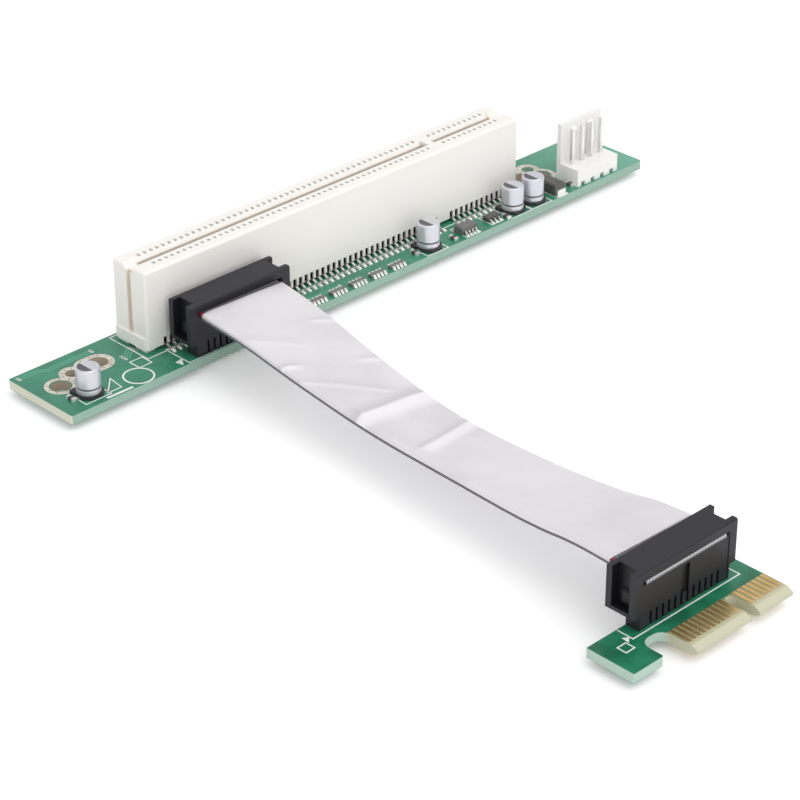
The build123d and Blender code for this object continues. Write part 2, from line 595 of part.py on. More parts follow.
def capacitor(x, y):
    """Can with its crimp groove, bevelled base and two flat leads."""
    base = standing(x, y, CAP_BASE, CAP_BASE, CAP_BASE_HEIGHT)
    upright = base.edges().filter_by(Axis.Z).group_by(Axis.Y)[0]
    base = chamfer(upright, CAP_BASE_CHAMFER)
    radius = CAN_DIAMETER / 2
    foot = BOARD_TOP + CAP_BASE_HEIGHT
    can = Pos(x, y, foot) * Cylinder(radius, CAN_HEIGHT, align=FLAT)
    can = fillet(can.edges().sort_by(Axis.Z)[-1], CAN_RIM)
    ring = Cylinder(radius + 1, CAN_GROOVE_DEPTH * 2, align=FLAT)
    ring -= Cone(radius, radius - CAN_GROOVE_DEPTH, CAN_GROOVE_DEPTH, align=FLAT)
    upper = Cone(radius - CAN_GROOVE_DEPTH, radius, CAN_GROOVE_DEPTH, align=FLAT)
    ring -= Pos(0, 0, CAN_GROOVE_DEPTH) * upper
    can -= Pos(x, y, foot + CAN_GROOVE_HEIGHT - CAN_GROOVE_DEPTH) * ring
    leads = []
    for side in (-1, 1):
        edge = side * CAP_BASE / 2
        leads.append(standing(x + edge + side * CAP_LEAD_PROUD / 2, y, CAP_LEAD_PROUD, CAP_LEAD_WIDTH,
                              CAP_LEAD_THICKNESS))
    return base, can, Compound(leads)


def power_header():
    """Wafer header: notched base, upright locking plate with guide ribs, and four square pins."""
    left = POWER_LEFT
    right = left + POWER_LENGTH
    front = RISER_FRONT + POWER_FROM_FRONT
    back = front + POWER_DEPTH
    top = BOARD_TOP + POWER_HEIGHT
    seat = BOARD_TOP + POWER_BASE_HEIGHT
    body = block((left, front, BOARD_TOP), (right, back, seat))
    body += block((left, back - POWER_PLATE, BOARD_TOP), (right, back, top))
    for place in POWER_GUIDE_PLACES:
        x = left + POWER_LENGTH * place
        rib = block((x - POWER_GUIDE_WIDTH / 2, back - POWER_PLATE - POWER_GUIDE_DEPTH, seat - JOIN),
                    (x + POWER_GUIDE_WIDTH / 2, back - POWER_PLATE + JOIN,
                     top - POWER_GUIDE_BELOW_TOP))
        top_front = rib.faces().sort_by(Axis.Z)[-1].edges().filter_by(Axis.X).sort_by(Axis.Y)[0]
        body += chamfer(top_front, POWER_GUIDE_BEVEL)
    notches = []
    for x, y in power_pins():
        notches.append(standing(x, front, POWER_NOTCH_WIDTH, 2 * POWER_NOTCH_DEPTH, POWER_NOTCH_HEIGHT))
        notches.append(standing(x, y, POWER_PIN, POWER_PIN, POWER_BASE_HEIGHT + 2, BOARD_TOP - 1))
    pins = []
    for x, y in power_pins():
        pin = standing(x, y, POWER_PIN, POWER_PIN, BOARD_TOP + POWER_PIN_HEIGHT, 0)
        pins.append(chamfer(pin.faces().sort_by(Axis.Z)[-1].edges(), POWER_PIN_TAPER))
    return body - notches, Compound(pins)


def leaded_package(size, spot, leads, pitch):
    """Flat moulded package with rows of short leads on its front and back."""
    x = SLOT_LEFT + spot[0]
    y = RISER_FRONT + spot[1]
    length, width, height = size
    body = standing(x, y, length, width, height - LEAD_THICKNESS / 2, BOARD_TOP + LEAD_THICKNESS / 2)
    body = chamfer(body.faces().sort_by(Axis.Z)[-1].edges(), height * 0.16)
    outline = strip_outline([(width / 2, height * 0.45), (width / 2 + LEAD_PROUD * 0.45, height * 0.45),
                             (width / 2 + LEAD_PROUD * 0.55, LEAD_THICKNESS / 2),
                             (width / 2 + LEAD_PROUD, LEAD_THICKNESS / 2)], LEAD_THICKNESS)
    legs = []
    for side in (-1, 1):
        shape = [(y + side * u, BOARD_TOP + v) for u, v in outline]
        for number in range(leads):
            legs.append(prism_along_x(shape, x + (number - (leads - 1) / 2) * pitch, LEAD_WIDTH))
    return body, Compound(legs)


def diode():
    """Moulded diode with a wrapped tab at its front and back."""
    x = SLOT_RIGHT + DIODE_PLACE * PARTS_ROOM
    y = RISER_FRONT + DIODE_FROM_FRONT
    length, width, height = DIODE_BODY
    body = standing(x, y, length, width, height)
    body = chamfer(body.faces().sort_by(Axis.Z)[-1].edges(), height * 0.12)
    tabs = []
    for side in (-1, 1):
        tabs.append(standing(x, y + side * (width + DIODE_TAB_PROUD) / 2, DIODE_TAB_WIDTH, DIODE_TAB_PROUD,
                             DIODE_TAB_HEIGHT))
    return body, Compound(tabs)


def resistor_arrays():
    """Row of flat resistor arrays with scalloped metal terminals on their long sides."""
    bodies = []
    terminals = []
    length, width, height = ARRAY_BODY
    for number in range(ARRAY_COUNT):
        x = SLOT_LEFT + ARRAY_FIRST_SPOT[0] + number * ARRAY_SPACING
        y = RISER_FRONT + ARRAY_FIRST_SPOT[1]
        bodies.append(standing(x, y, length, width - 2 * ARRAY_TERMINAL, height))
        for cell in range(ARRAY_CELLS):
            cell_x = x + (cell - (ARRAY_CELLS - 1) / 2) * length / ARRAY_CELLS
            for side in (-1, 1):
                terminals.append(standing(cell_x, y + side * (width - ARRAY_TERMINAL) / 2, ARRAY_CELL_WIDTH,
                                          ARRAY_TERMINAL, height))
    return Compound(bodies), Compound(terminals)


def chips():
    """Small two-terminal chip parts."""
    bodies = []
    terminals = []
    length, width, height = CHIP_BODY
    spots = [(SLOT_LEFT + from_slot, from_front) for from_slot, from_front in CHIP_SPOTS]
    spots.append((RISER_LEFT + LONE_CHIP_SPOT[0], LONE_CHIP_SPOT[1]))
    spots.append((POWER_LEFT - length / 2, HEADER_CHIP_FROM_FRONT))
    for x, from_front in spots:
        y = RISER_FRONT + from_front
        bodies.append(standing(x, y, length, width - 2 * CHIP_TERMINAL, height))
        for side in (-1, 1):
            terminal_y = y + side * (width - CHIP_TERMINAL) / 2
            terminals.append(standing(x, terminal_y, length, CHIP_TERMINAL, height))
    return Compound(bodies), Compound(terminals)


def build_parts():
    """Every sub-part by node name."""
    parts = {
        "riser_board": riser_board(),
        "left_hole_land": hole_lands(-1),
        "right_hole_land": hole_lands(1),
        "pci_slot_housing": pci_slot_housing(),
        "pci_contacts_front": slot_contacts(-1),
        "pci_contacts_rear": slot_contacts(1),
        "riser_header_body": header_body(RISER_HEADER_X, RISER_HEADER_FRONT),
        "riser_header_cover": header_cover(RISER_HEADER_X, RISER_HEADER_FRONT),
        "riser_header_contacts": header_contacts(RISER_HEADER_X, RISER_HEADER_FRONT),
        "edge_header_body": header_body(EDGE_HEADER_X, EDGE_HEADER_FRONT),
        "edge_header_cover": header_cover(EDGE_HEADER_X, EDGE_HEADER_FRONT),
        "edge_header_contacts": header_contacts(EDGE_HEADER_X, EDGE_HEADER_FRONT),
        "edge_board": edge_board(),
        "edge_fingers_top": edge_fingers(BOARD_TOP),
        "edge_fingers_bottom": edge_fingers(TAIL_PROUD - FINGER_THICKNESS),
    }
    parts["ribbon_wires"], parts["ribbon_first_wire"], parts["ribbon_foil"] = cable_parts()
    spots = [(RISER_LEFT + LONE_CAPACITOR_SPOT[0], LONE_CAPACITOR_SPOT[1])]
    spots += [(SLOT_LEFT + from_slot, from_front) for from_slot, from_front in CAPACITOR_SPOTS]
    for number, (x, from_front) in enumerate(spots, 1):
        base, can, leads = capacitor(x, RISER_FRONT + from_front)
        parts[f"capacitor_{number}_base"] = base
        parts[f"capacitor_{number}_can"] = can
        parts[f"capacitor_{number}_leads"] = leads
    parts["power_header_body"], parts["power_header_pins"] = power_header()
    parts["regulator_body"], parts["regulator_leads"] = leaded_package(
        REGULATOR_BODY, REGULATOR_SPOT, REGULATOR_LEADS, REGULATOR_LEAD_PITCH)
    parts["power_switch_body"], parts["power_switch_leads"] = leaded_package(
        SWITCH_BODY, SWITCH_SPOT, SWITCH_LEADS, SWITCH_LEAD_PITCH)
    parts["diode_body"], parts["diode_tabs"] = diode()
    parts["resistor_array_bodies"], parts["resistor_array_terminals"] = resistor_arrays()
    parts["chip_bodies"], parts["chip_terminals"] = chips()
    return parts


if __name__ == "__main__":
    os.makedirs("parts", exist_ok=True)
    length = ribbon_plane()[1]
    print("cable radii", [round(radius, 1) for radius in ribbon_path(0, length)[1]])
    for node, solid in build_parts().items():
        export_step(solid, f"parts/{node}.step")
        print(node, len(solid.solids()), round(solid.volume, 2))
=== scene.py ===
"""Flexible riser card: looks for the long board, its card slot, the foil-wrapped ribbon and the edge board.

Sizes are in millimetres. X runs along the riser board, -Y points to the edge board, +Z is up.
"""

import logging
import math
from collections.abc import Sequence
from dataclasses import dataclass, field
from enum import Enum
from functools import cache

import bpy
import numpy as np
from mathutils import Matrix, Vector


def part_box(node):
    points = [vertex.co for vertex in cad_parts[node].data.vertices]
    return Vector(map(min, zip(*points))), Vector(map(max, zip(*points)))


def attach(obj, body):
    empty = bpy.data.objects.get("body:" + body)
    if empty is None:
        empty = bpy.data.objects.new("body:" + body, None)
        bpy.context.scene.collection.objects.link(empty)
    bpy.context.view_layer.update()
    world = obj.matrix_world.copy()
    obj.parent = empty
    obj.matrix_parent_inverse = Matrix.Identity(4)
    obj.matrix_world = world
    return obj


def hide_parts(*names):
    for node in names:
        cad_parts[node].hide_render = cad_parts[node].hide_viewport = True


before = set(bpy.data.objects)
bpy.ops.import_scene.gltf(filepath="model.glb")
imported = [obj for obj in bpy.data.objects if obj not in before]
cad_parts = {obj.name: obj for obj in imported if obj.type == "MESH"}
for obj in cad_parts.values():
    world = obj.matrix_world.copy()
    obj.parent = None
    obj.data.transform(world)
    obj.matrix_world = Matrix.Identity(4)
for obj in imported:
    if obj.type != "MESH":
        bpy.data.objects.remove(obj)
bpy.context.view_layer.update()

LOG = logging.getLogger("riser_card")
MM = 0.001
BODY = "root"
NOISE_ROUGHNESS = 0.55
# How far a layer on a face starts under that face, so that no gap shows
SUNK = 0.01
CONTACT_PITCH = 1.27
Number = "Signal | float"
Pair = tuple[float, float]
Colour = tuple[float, float, float]
Place = tuple[float, float, float]


class Slot(Enum):
    """Material slots of the record that the pieces take their finish from."""

    RISER = "riser_laminate"
    EDGE = "edge_laminate"
    TIN = "tinned"
    GOLD = "gold"
    WHITE = "slot_plastic"
    BLACK = "black_plastic"
    PACKAGE = "package_plastic"
    CAN = "can_aluminium"
    GREY_WIRE = "ribbon_grey"
    RED_WIRE = "ribbon_red"
    FOIL = "foil"


def extent(node: str) -> tuple[np.ndarray, np.ndarray]:
    """Lowest and highest corner of a CAD node, in millimetres."""
    low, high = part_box(node)
    return np.array(low) / MM, np.array(high) / MM


def board_top() -> float:
    """Level of the boards' upper faces."""
    return float(extent("riser_board")[1][2])


def put(name: str, data: bpy.types.ID) -> bpy.types.Object:
    """Make an object of the data and link it to the scene."""
    made = bpy.data.objects.new(name, data)
    bpy.context.scene.collection.objects.link(made)
    return made


# Shading


class Signal:
    """A number carried by a node socket. Arithmetic on it adds the matching nodes."""

    def __init__(self, graph: "Graph", socket: bpy.types.NodeSocket) -> None:
        """Wrap an output socket.

        Args:
            graph: The graph that the socket belongs to.
            socket: The output that carries the number.
        """
        self.graph = graph
        self.socket = socket

    def apply(self, operation: str, *others: Number) -> "Signal":
        """Add a Math node with this number as its first input.

        Args:
            operation: The Math node's operation.
            others: Numbers or signals for its other inputs.

        Returns:
            The node's result.
        """
        inputs = dict(enumerate((self, *others)))
        made = self.graph.node("ShaderNodeMath", {"operation": operation}, inputs)
        return Signal(self.graph, made.outputs[0])

    def __add__(self, other: Number) -> "Signal":
        """Sum."""
        return self.apply("ADD", other)

    __radd__ = __add__

    def __mul__(self, other: Number) -> "Signal":
        """Product."""
        return self.apply("MULTIPLY", other)

    __rmul__ = __mul__

    def __sub__(self, other: Number) -> "Signal":
        """Difference."""
        return self.apply("SUBTRACT", other)

    def __rsub__(self, other: float) -> "Signal":
        """Difference from a plain number."""
        return self.apply("MULTIPLY", -1.0) + other

    def __abs__(self) -> "Signal":
        """Size without its sign."""
        return self.apply("ABSOLUTE")

    def above(self, level: float) -> "Signal":
        """1 where the number is over the level, else 0."""
        return self.apply("GREATER_THAN", level)

    def below(self, level: float) -> "Signal":
        """1 where the number is under the level, else 0."""
        return self.apply("LESS_THAN", level)

    def ramp(self, low: float, high: float) -> "Signal":
        """Smooth rise from 0 at low to 1 at high."""
        inputs = {"Value": self, "From Min": low, "From Max": high}
        made = self.graph.node("ShaderNodeMapRange", {"interpolation_type": "SMOOTHSTEP"}, inputs)
        return Signal(self.graph, made.outputs[0])


class Graph:
    """Node graph of one material, ending in a Principled shader."""

    def __init__(self, name: str) -> None:
        """Start an empty material.

        Args:
            name: The material's name.
        """
        self.material = bpy.data.materials.new(name)
        self.material.use_nodes = True
        self.tree = self.material.node_tree
        self.tree.nodes.clear()
        self.output = self.tree.nodes.new("ShaderNodeOutputMaterial")

    def node(self, kind: str, settings: dict[str, object],
             inputs: dict[int | str, object]) -> bpy.types.Node:
        """Add a node.

        Args:
            kind: The node's type name.
            settings: Properties, set before the sockets.
            inputs: Values, signals or sockets by input name or number.

        Returns:
            The new node.
        """
        made = self.tree.nodes.new(kind)
        for name, value in settings.items():
            setattr(made, name, value)
        for key, value in inputs.items():
            source = value.socket if isinstance(value, Signal) else value
            if isinstance(source, bpy.types.NodeSocket):
                self.tree.links.new(source, made.inputs[key])
            else:
                made.inputs[key].default_value = source
        return made

    def coordinates(self) -> bpy.types.NodeSocket:
        """Object coordinates, in metres."""
        return self.node("ShaderNodeTexCoord", {}, {}).outputs["Object"]

    @cache
    def place(self) -> tuple[Signal, Signal, Signal]:
        """Object coordinates in millimetres.

        Returns:
            The x, y and z signals.
        """
        parts = self.node("ShaderNodeSeparateXYZ", {}, {0: self.coordinates()})
        return tuple(Signal(self, output) * (1 / MM) for output in parts.outputs)

    def noise(self, per_mm: float, detail: float = 3.0, stretch: Place = (1.0, 1.0, 1.0)) -> Signal:
        """Cloudy number from 0 to 1 in Object coordinates.

        Args:
            per_mm: Features to a millimetre.
            detail: Octaves of finer features.
            stretch: How much denser the pattern is along each axis.

        Returns:
            The noise.
        """
        scale = [per_mm * factor / MM for factor in stretch]
        mapped = self.node("ShaderNodeMapping", {}, {"Vector": self.coordinates(), "Scale": scale}).outputs[0]
        inputs = {"Vector": mapped, "Scale": 1.0, "Detail": detail, "Roughness": NOISE_ROUGHNESS}
        return Signal(self, self.node("ShaderNodeTexNoise", {}, inputs).outputs[0])

    def mix(self, factor: Number, first: object, second: object) -> bpy.types.NodeSocket:
        """Blend two colours.

        Args:
            factor: 0 gives the first colour and 1 the second.
            first: A colour or a colour socket.
            second: A colour or a colour socket.

        Returns:
            The blended colour's socket.
        """
        colours = [(*c, 1.0) if isinstance(c, tuple) and len(c) == 3 else c for c in (first, second)]
        made = self.node("ShaderNodeMix", {"data_type": "RGBA"}, {0: factor, 6: colours[0], 7: colours[1]})
        return made.outputs[2]

    def inside(self, room: Sequence[Pair], soft: float) -> Signal:
        """1 inside a box, 0 outside it: a smooth step up times a smooth step down along each axis.

        Args:
            room: Lowest and highest value along each axis, in millimetres.
            soft: Half the length of each step.

        Returns:
            The mask.
        """
        masks = [p.ramp(low - soft, low + soft) * (1 - p.ramp(high - soft, high + soft))
                 for p, (low, high) in zip(self.place(), room)]
        return masks[0] * masks[1] * masks[2]

    def bump(self, height: Signal, depth: float, strength: float = 1.0) -> bpy.types.NodeSocket:
        """Normal bent by a height field.

        Args:
            height: The field, from 0 to 1.
            depth: What a height of 1 stands for, in millimetres.
            strength: How much of it is used.

        Returns:
            The normal's socket.
        """
        inputs = {"Height": height, "Distance": depth * MM, "Strength": strength}
        return self.node("ShaderNodeBump", {}, inputs).outputs[0]

    def close(self, **inputs: object) -> bpy.types.Material:
        """Add the Principled shader and link it to the output.

        Args:
            inputs: Its values and links, with underscores for spaces in their names.

        Returns:
            The finished material.
        """
        named = {key.replace("_", " "): value for key, value in inputs.items()}
        for key, value in named.items():
            if isinstance(value, tuple) and len(value) == 3:
                named[key] = (*value, 1.0)
        shader = self.node("ShaderNodeBsdfPrincipled", {}, named)
        self.tree.links.new(shader.outputs[0], self.output.inputs["Surface"])
        return self.material


@dataclass(frozen=True)
class Room:
    """Box in which a surface takes another colour, as where little light reaches."""

    x: Pair
    y: Pair
    z: Pair
    colour: Colour
    edge: float = 0.06

    def tint(self, graph: Graph, colour: object) -> bpy.types.NodeSocket:
        """Blend the room's colour into another one.

        Args:
            graph: The material's graph.
            colour: A colour or a colour socket.

        Returns:
            The blended colour's socket.
        """
        return graph.mix(graph.inside((self.x, self.y, self.z), self.edge), colour, self.colour)


@dataclass(frozen=True)
class Finish:
    """Look of one kind of surface."""

    name: str
    slot: Slot

    def build(self) -> bpy.types.Material:
        """Make the material. Each kind of finish has its own."""
        raise NotImplementedError

    @cache
    def material(self) -> bpy.types.Material:
        """The finish's one material, made when it is first used."""
        return self.build()


@dataclass(frozen=True)
class Moulded(Finish):
    """Moulded plastic: one colour with faint flow clouds and a fine spark-eroded grain."""

    colour: Colour
    cloud: float = 0.1
    roughness: float = 0.4
    roughness_swing: float = 0.16
    grain: float = 0.02
    grain_per_mm: float = 5.0
    glow: float = 0.0
    glow_radius: Place = (1.0, 0.8, 0.6)
    # Boxes that take another colour: painted shade in hollows, or a cut end's own colour
    rooms: tuple[Room, ...] = ()
    specular: float = 0.5

    def build(self) -> bpy.types.Material:
        """Make the material."""
        graph = Graph(self.name)
        clouds = graph.noise(0.16, 3.0)
        grain = graph.noise(self.grain_per_mm, 4.0)
        darker = tuple(c * (1 - self.cloud) for c in self.colour)
        lighter = tuple(min(c * (1 + self.cloud), 1.0) for c in self.colour)
        colour = graph.mix(clouds, darker, lighter)
        for room in self.rooms:
            colour = room.tint(graph, colour)
        glow = {
            "Subsurface_Weight": self.glow,
            "Subsurface_Radius": list(self.glow_radius),
            "Subsurface_Scale": MM,
        }
        return graph.close(
            Base_Color=colour,
            Roughness=grain * self.roughness_swing + (self.roughness - self.roughness_swing / 2),
            Normal=graph.bump(grain, self.grain),
            Specular_IOR_Level=self.specular,
            **(glow if self.glow else {}),
        )


@dataclass(frozen=True)
class Plated(Finish):
    """Plated or soldered metal with small waves, and duller patches."""

    colour: Colour
    tarnish: Colour
    roughness: float = 0.28
    patch_per_mm: float = 1.1
    wave: float = 0.02
    metallic: float = 1.0
    # Boxes that take another colour: painted shade where the metal lies inside a housing
    rooms: tuple[Room, ...] = ()

    def build(self) -> bpy.types.Material:
        """Make the material."""
        graph = Graph(self.name)
        patches = graph.noise(self.patch_per_mm, 4.0)
        waves = graph.noise(4.0, 2.0)
        colour = graph.mix(patches.ramp(0.35, 0.75), self.colour, self.tarnish)
        for room in self.rooms:
            colour = room.tint(graph, colour)
        return graph.close(
            Base_Color=colour,
            Metallic=self.metallic,
            Roughness=patches * 0.24 + (self.roughness - 0.1),
            Normal=graph.bump(waves, self.wave),
        )


@dataclass(frozen=True)
class Laminate(Finish):
    """Glass laminate under green solder mask: glossy faces, pale cut edges, a bare strip by the fingers.

    The mask takes a paler colour past an X range towards the right end, a painted sheen, and the board's end
    face before end_before is paler than the other cut edges. The strip is bare before bare_before in Y, from
    bare_from on in X, and pales over tip_range.
    """

    mask: Colour
    mask_dark: Colour
    cut: Colour
    end_cut: Colour
    # Painted sheen: the paler mask colour towards the right end, and the X range over which it comes in
    clear: Colour = (0.13, 0.39, 0.29)
    painted_sheen_from: Pair = (1000.0, 1001.0)
    end_before: float = -1000.0
    bare: Colour = (0.31, 0.30, 0.145)
    bare_tip: Colour = (0.58, 0.555, 0.38)
    tip_range: Pair = (-60.1, -58.6)
    bare_before: float = -1000.0
    bare_from: float = 0.0
    hole_wall: Colour = (0.48, 0.40, 0.31)
    hole_reach: float = 0.25
    holes: tuple[Place, ...] = ()
    skin: float = 0.05

    def build(self) -> bpy.types.Material:
        """Make the material."""
        graph = Graph(self.name)
        x, y, z = graph.place()
        bottom, top = (float(corner[2]) for corner in extent("riser_board"))
        side = abs(z - (bottom + top) / 2).below((top - bottom) / 2 - self.skin)
        clouds = graph.noise(0.25, 3.0)
        weave = graph.noise(3.0, 2.0, (1.0, 1.0, 9.0))
        faces = graph.mix(clouds.ramp(0.3, 0.7), self.mask, self.mask_dark)
        # Painted sheen: the mask turns paler towards the board's right end
        faces = graph.mix(x.ramp(*self.painted_sheen_from), faces, self.clear)
        strip = y.below(self.bare_before) * x.above(self.bare_from)
        faces = graph.mix(strip, faces, graph.mix(y.ramp(*self.tip_range), self.bare_tip, self.bare))
        layers = graph.mix(weave.ramp(0.3, 0.75), self.cut, tuple(c * 0.9 for c in self.cut))
        layers = graph.mix(strip, layers, self.end_cut)
        layers = graph.mix(x.below(self.end_before), layers, self.end_cut)
        for across, along, radius in self.holes:
            away = (x - across) * (x - across) + (y - along) * (y - along)
            layers = graph.mix(away.below((radius + self.hole_reach) ** 2), layers, self.hole_wall)
        grain = graph.noise(1.6, 3.0)
        return graph.close(
            Base_Color=graph.mix(side, faces, layers),
            Roughness=side * 0.38 + (grain * 0.1 + 0.24),
            Normal=graph.bump(grain, 0.006),
        )


@dataclass(frozen=True)
class Ink(Finish):
    """Thin printed ink or mask layer with a slightly broken tone."""

    colour: Colour
    under: Colour
    roughness: float = 0.5

    def build(self) -> bpy.types.Material:
        """Make the material."""
        graph = Graph(self.name)
        specks = graph.noise(2.4, 4.0)
        return graph.close(
            Base_Color=graph.mix(specks.ramp(0.56, 0.72), self.colour, self.under),
            Roughness=specks * 0.15 + (self.roughness - 0.07),
            Normal=graph.bump(specks, 0.008),
        )


@dataclass(frozen=True)
class Ridge:
    """Sharp straight fold of the foil, whose crest runs from start to end, each (across, travel).

    It rises over near before its crest, falls over far after it, and fades over fade at its ends. Its tint
    sets how strongly painted shade is laid before the crest and a painted highlight after it.
    """

    start: Pair
    end: Pair
    rise: float
    near: float
    far: float
    tint: float
    fade: float = 4.0

    def slope(self) -> float:
        """Travel gained by the crest for each millimetre across."""
        return (self.end[1] - self.start[1]) / (self.end[0] - self.start[0])

    def height(self, travel: np.ndarray, across: np.ndarray) -> np.ndarray:
        """Height over the sleeve: rise * (1 - t) * sin(e * pi / 2)^2.

        t is the share of the reach from the crest, and e falls from 1 to 0 past the crest's ends.

        Args:
            travel: Distances along the cable.
            across: Distances across it, same shape.

        Returns:
            Heights, same shape.
        """
        away = travel - self.start[1] - (across - self.start[0]) * self.slope()
        share = np.where(away < 0, -away / self.near, away / self.far)
        ends = (np.clip((across - self.start[0]) / self.fade + 1, 0, 1)
                * np.clip((self.end[0] - across) / self.fade + 1, 0, 1))
        return self.rise * (1 - np.clip(share, 0, 1)) * np.sin(ends * np.pi / 2) ** 2

    def shade(self, travel: Signal, across: Signal) -> tuple[Signal, Signal]:
        """Masks of painted shade before the crest and of a painted highlight after it.

        Args:
            travel: Distance along the cable.
            across: Distance across it.

        Returns:
            The painted shade and the painted highlight, each scaled by the tint.
        """
        away = travel - self.start[1] - (across - self.start[0]) * self.slope()
        within = across.ramp(self.start[0] - 1.5, self.start[0] + 0.5) * self.tint
        within = within * (1 - across.ramp(self.end[0] - 0.5, self.end[0] + 1.5))
        past = away.ramp(-0.3, 0.4)
        return (within * away.ramp(-self.near, -0.1) * (1 - past),
                within * past * (1 - away.ramp(self.far * 0.4, self.far)))


# Each fold: crest start, crest end, rise, near, far and tint, the strength of its painted shade and highlight
FOLDS = (
    Ridge((-8.6, 44.4), (10.0, 41.2), 0.7, 3.6, 3.4, 0.75),
    Ridge((-5.6, 56.6), (10.0, 50.8), 0.45, 1.8, 2.5, 0.65),
    Ridge((-8.6, 26.4), (-6.4, 27.2), 0.26, 1.6, 1.2, 0.6),
    Ridge((-8.6, 31.0), (3.0, 38.6), 0.14, 2.6, 1.8, 0.28),
    Ridge((-8.6, 17.0), (-1.0, 22.5), 0.14, 3.0, 1.6, 0.15),
    Ridge((5.0, 17.6), (10.0, 19.4), 0.2, 1.6, 1.2, 0.35),
    Ridge((5.0, 29.8), (10.0, 30.8), 0.2, 1.8, 1.2, 0.35),
    Ridge((-8.6, 70.0), (10.0, 71.0), 0.08, 4.0, 3.0, 0.0),
)


@dataclass(frozen=True)
class FoilTape(Finish):
    """Satin foil tape with fine crumples, partly metallic, with painted shade before each fold and a painted
    highlight after it.

    The folds are placed by travel along the cable, from start in the direction of along, and across it.
    """

    start: Pair
    along: Pair
    colour: Colour = (0.82, 0.795, 0.82)
    shade: Colour = (0.75, 0.725, 0.755)
    # Painted shade before each fold and painted highlight after it
    crease_shade: Colour = (0.60, 0.58, 0.61)
    crease_highlight: Colour = (0.98, 0.97, 0.98)
    roughness: float = 0.34
    metallic: float = 0.3

    def build(self) -> bpy.types.Material:
        """Make the material."""
        graph = Graph(self.name)
        x, y, _ = graph.place()
        x, y = x - self.start[0], y - self.start[1]
        travel = x * self.along[0] + y * self.along[1]
        across = x * -self.along[1] + y * self.along[0]
        broad = graph.noise(0.09, 3.0)
        crumple = graph.noise(0.55, 5.0)
        colour = graph.mix(broad.ramp(0.35, 0.7), self.colour, self.shade)
        # Painted shade before each fold's crest and a painted highlight after it
        for fold in FOLDS:
            if fold.tint:
                before, after = fold.shade(travel, across)
                colour = graph.mix(before, colour, self.crease_shade)
                colour = graph.mix(after, colour, self.crease_highlight)
        return graph.close(
            Base_Color=colour,
            Metallic=self.metallic,
            Roughness=crumple * 0.2 + (self.roughness - 0.1),
            Normal=graph.bump(crumple, 0.07, 0.8),
        )


@dataclass(frozen=True)
class Sleeve(Finish):
    """Thin bright sleeve of a can: drawn lines round it, and painted shade in the crimp groove."""

    colour: Colour = (0.72, 0.72, 0.78)
    # Painted shade in the crimp groove
    groove_shade: Colour = (0.16, 0.16, 0.17)
    groove_level: float = 4.28
    groove_reach: Pair = (0.1, 0.2)
    metallic: float = 0.6

    def build(self) -> bpy.types.Material:
        """Make the material."""
        graph = Graph(self.name)
        lines = graph.noise(1.2, 3.0, (0.4, 0.4, 5.0))
        clouds = graph.noise(0.4, 2.0)
        colour = graph.mix(clouds, self.colour, tuple(c * 0.9 for c in self.colour))
        away = abs(graph.place()[2] - self.groove_level)
        return graph.close(
            Base_Color=graph.mix(away.ramp(*self.groove_reach), self.groove_shade, colour),
            Metallic=self.metallic,
            Roughness=lines * 0.14 + 0.28,
            Normal=graph.bump(lines, 0.01),
        )


# Colours of painted shade in hollows that little light reaches, the second for the deepest ones
SHADE = (0.02, 0.018, 0.016)
DEEP_SHADE = (0.009, 0.009, 0.011)
# Mounting holes: x, y and radius
HOLES = (
    (-61.25, 53.8, 1.6), (-57.45, 55.7, 1.15), (-53.9, 55.7, 1.6), (-52.2, 55.7, 1.6),
    (48.2, 53.8, 1.6), (48.0, 57.05, 1.15), (44.85, 55.7, 1.6), (43.15, 55.7, 1.6))
# Painted shade in the slot: its contact cavities, the card gap and the groove at its left end
SLOT_SHADE_ROOMS = (
    Room((-41.9, 37.0), (52.5, 59.9), (3.0, 13.0), SHADE, 0.1),
    Room((-42.6, 37.7), (55.2, 57.2), (5.0, 16.6), (0.78, 0.69, 0.59), 0.15),
    Room((-45.2, -44.15), (55.65, 56.75), (5.4, 17.2), (0.82, 0.76, 0.67)),
)
# Painted shade on the contacts where they lie inside the slot housing
BLADE_SHADE_ROOM = Room((-42.0, 37.1), (52.45, 59.9), (3.05, 20.0), (0.03, 0.03, 0.03), 0.08)


def header_shade_rooms(board: str) -> tuple[Room, ...]:
    """Painted shade in the depths of a ribbon header: both end pockets, the polarity slot and the gaps of its
    comb.

    Args:
        board: The board that carries the header, riser or edge.

    Returns:
        Their rooms.
    """
    low, high = extent(f"{board}_header_body")
    middle, front = float(low[0] + high[0]) / 2, float(low[1])
    pocket = (front + 0.88, front + 4.32)
    return (
        Room((middle - 10.4, middle - 8.8), pocket, (4.9, 12.0), DEEP_SHADE),
        Room((middle + 8.8, middle + 10.4), pocket, (4.9, 12.0), DEEP_SHADE),
        Room((middle - 0.9, middle + 0.9), (front + 0.25, front + 0.8), (4.9, 9.6), DEEP_SHADE),
        Room((middle - 9.25, middle + 9.25), (front + 0.22, front + 3.0), (2.6, 5.0), DEEP_SHADE),
    )


# The riser's mask takes a painted sheen from x 40 to 66
RISER_MASK = Laminate(
    "riser_mask", Slot.RISER, (0.038, 0.25, 0.153), (0.028, 0.2, 0.122), cut=(0.33, 0.50, 0.41),
    end_cut=(0.68, 0.69, 0.56), painted_sheen_from=(40.0, 66.0), end_before=-65.6, holes=HOLES)
EDGE_MASK = Laminate(
    "edge_mask", Slot.EDGE, (0.02, 0.23, 0.12), (0.01, 0.13, 0.065), cut=(0.50, 0.66, 0.56),
    end_cut=(0.60, 0.585, 0.43), bare_before=-56.0, bare_from=-46.0)

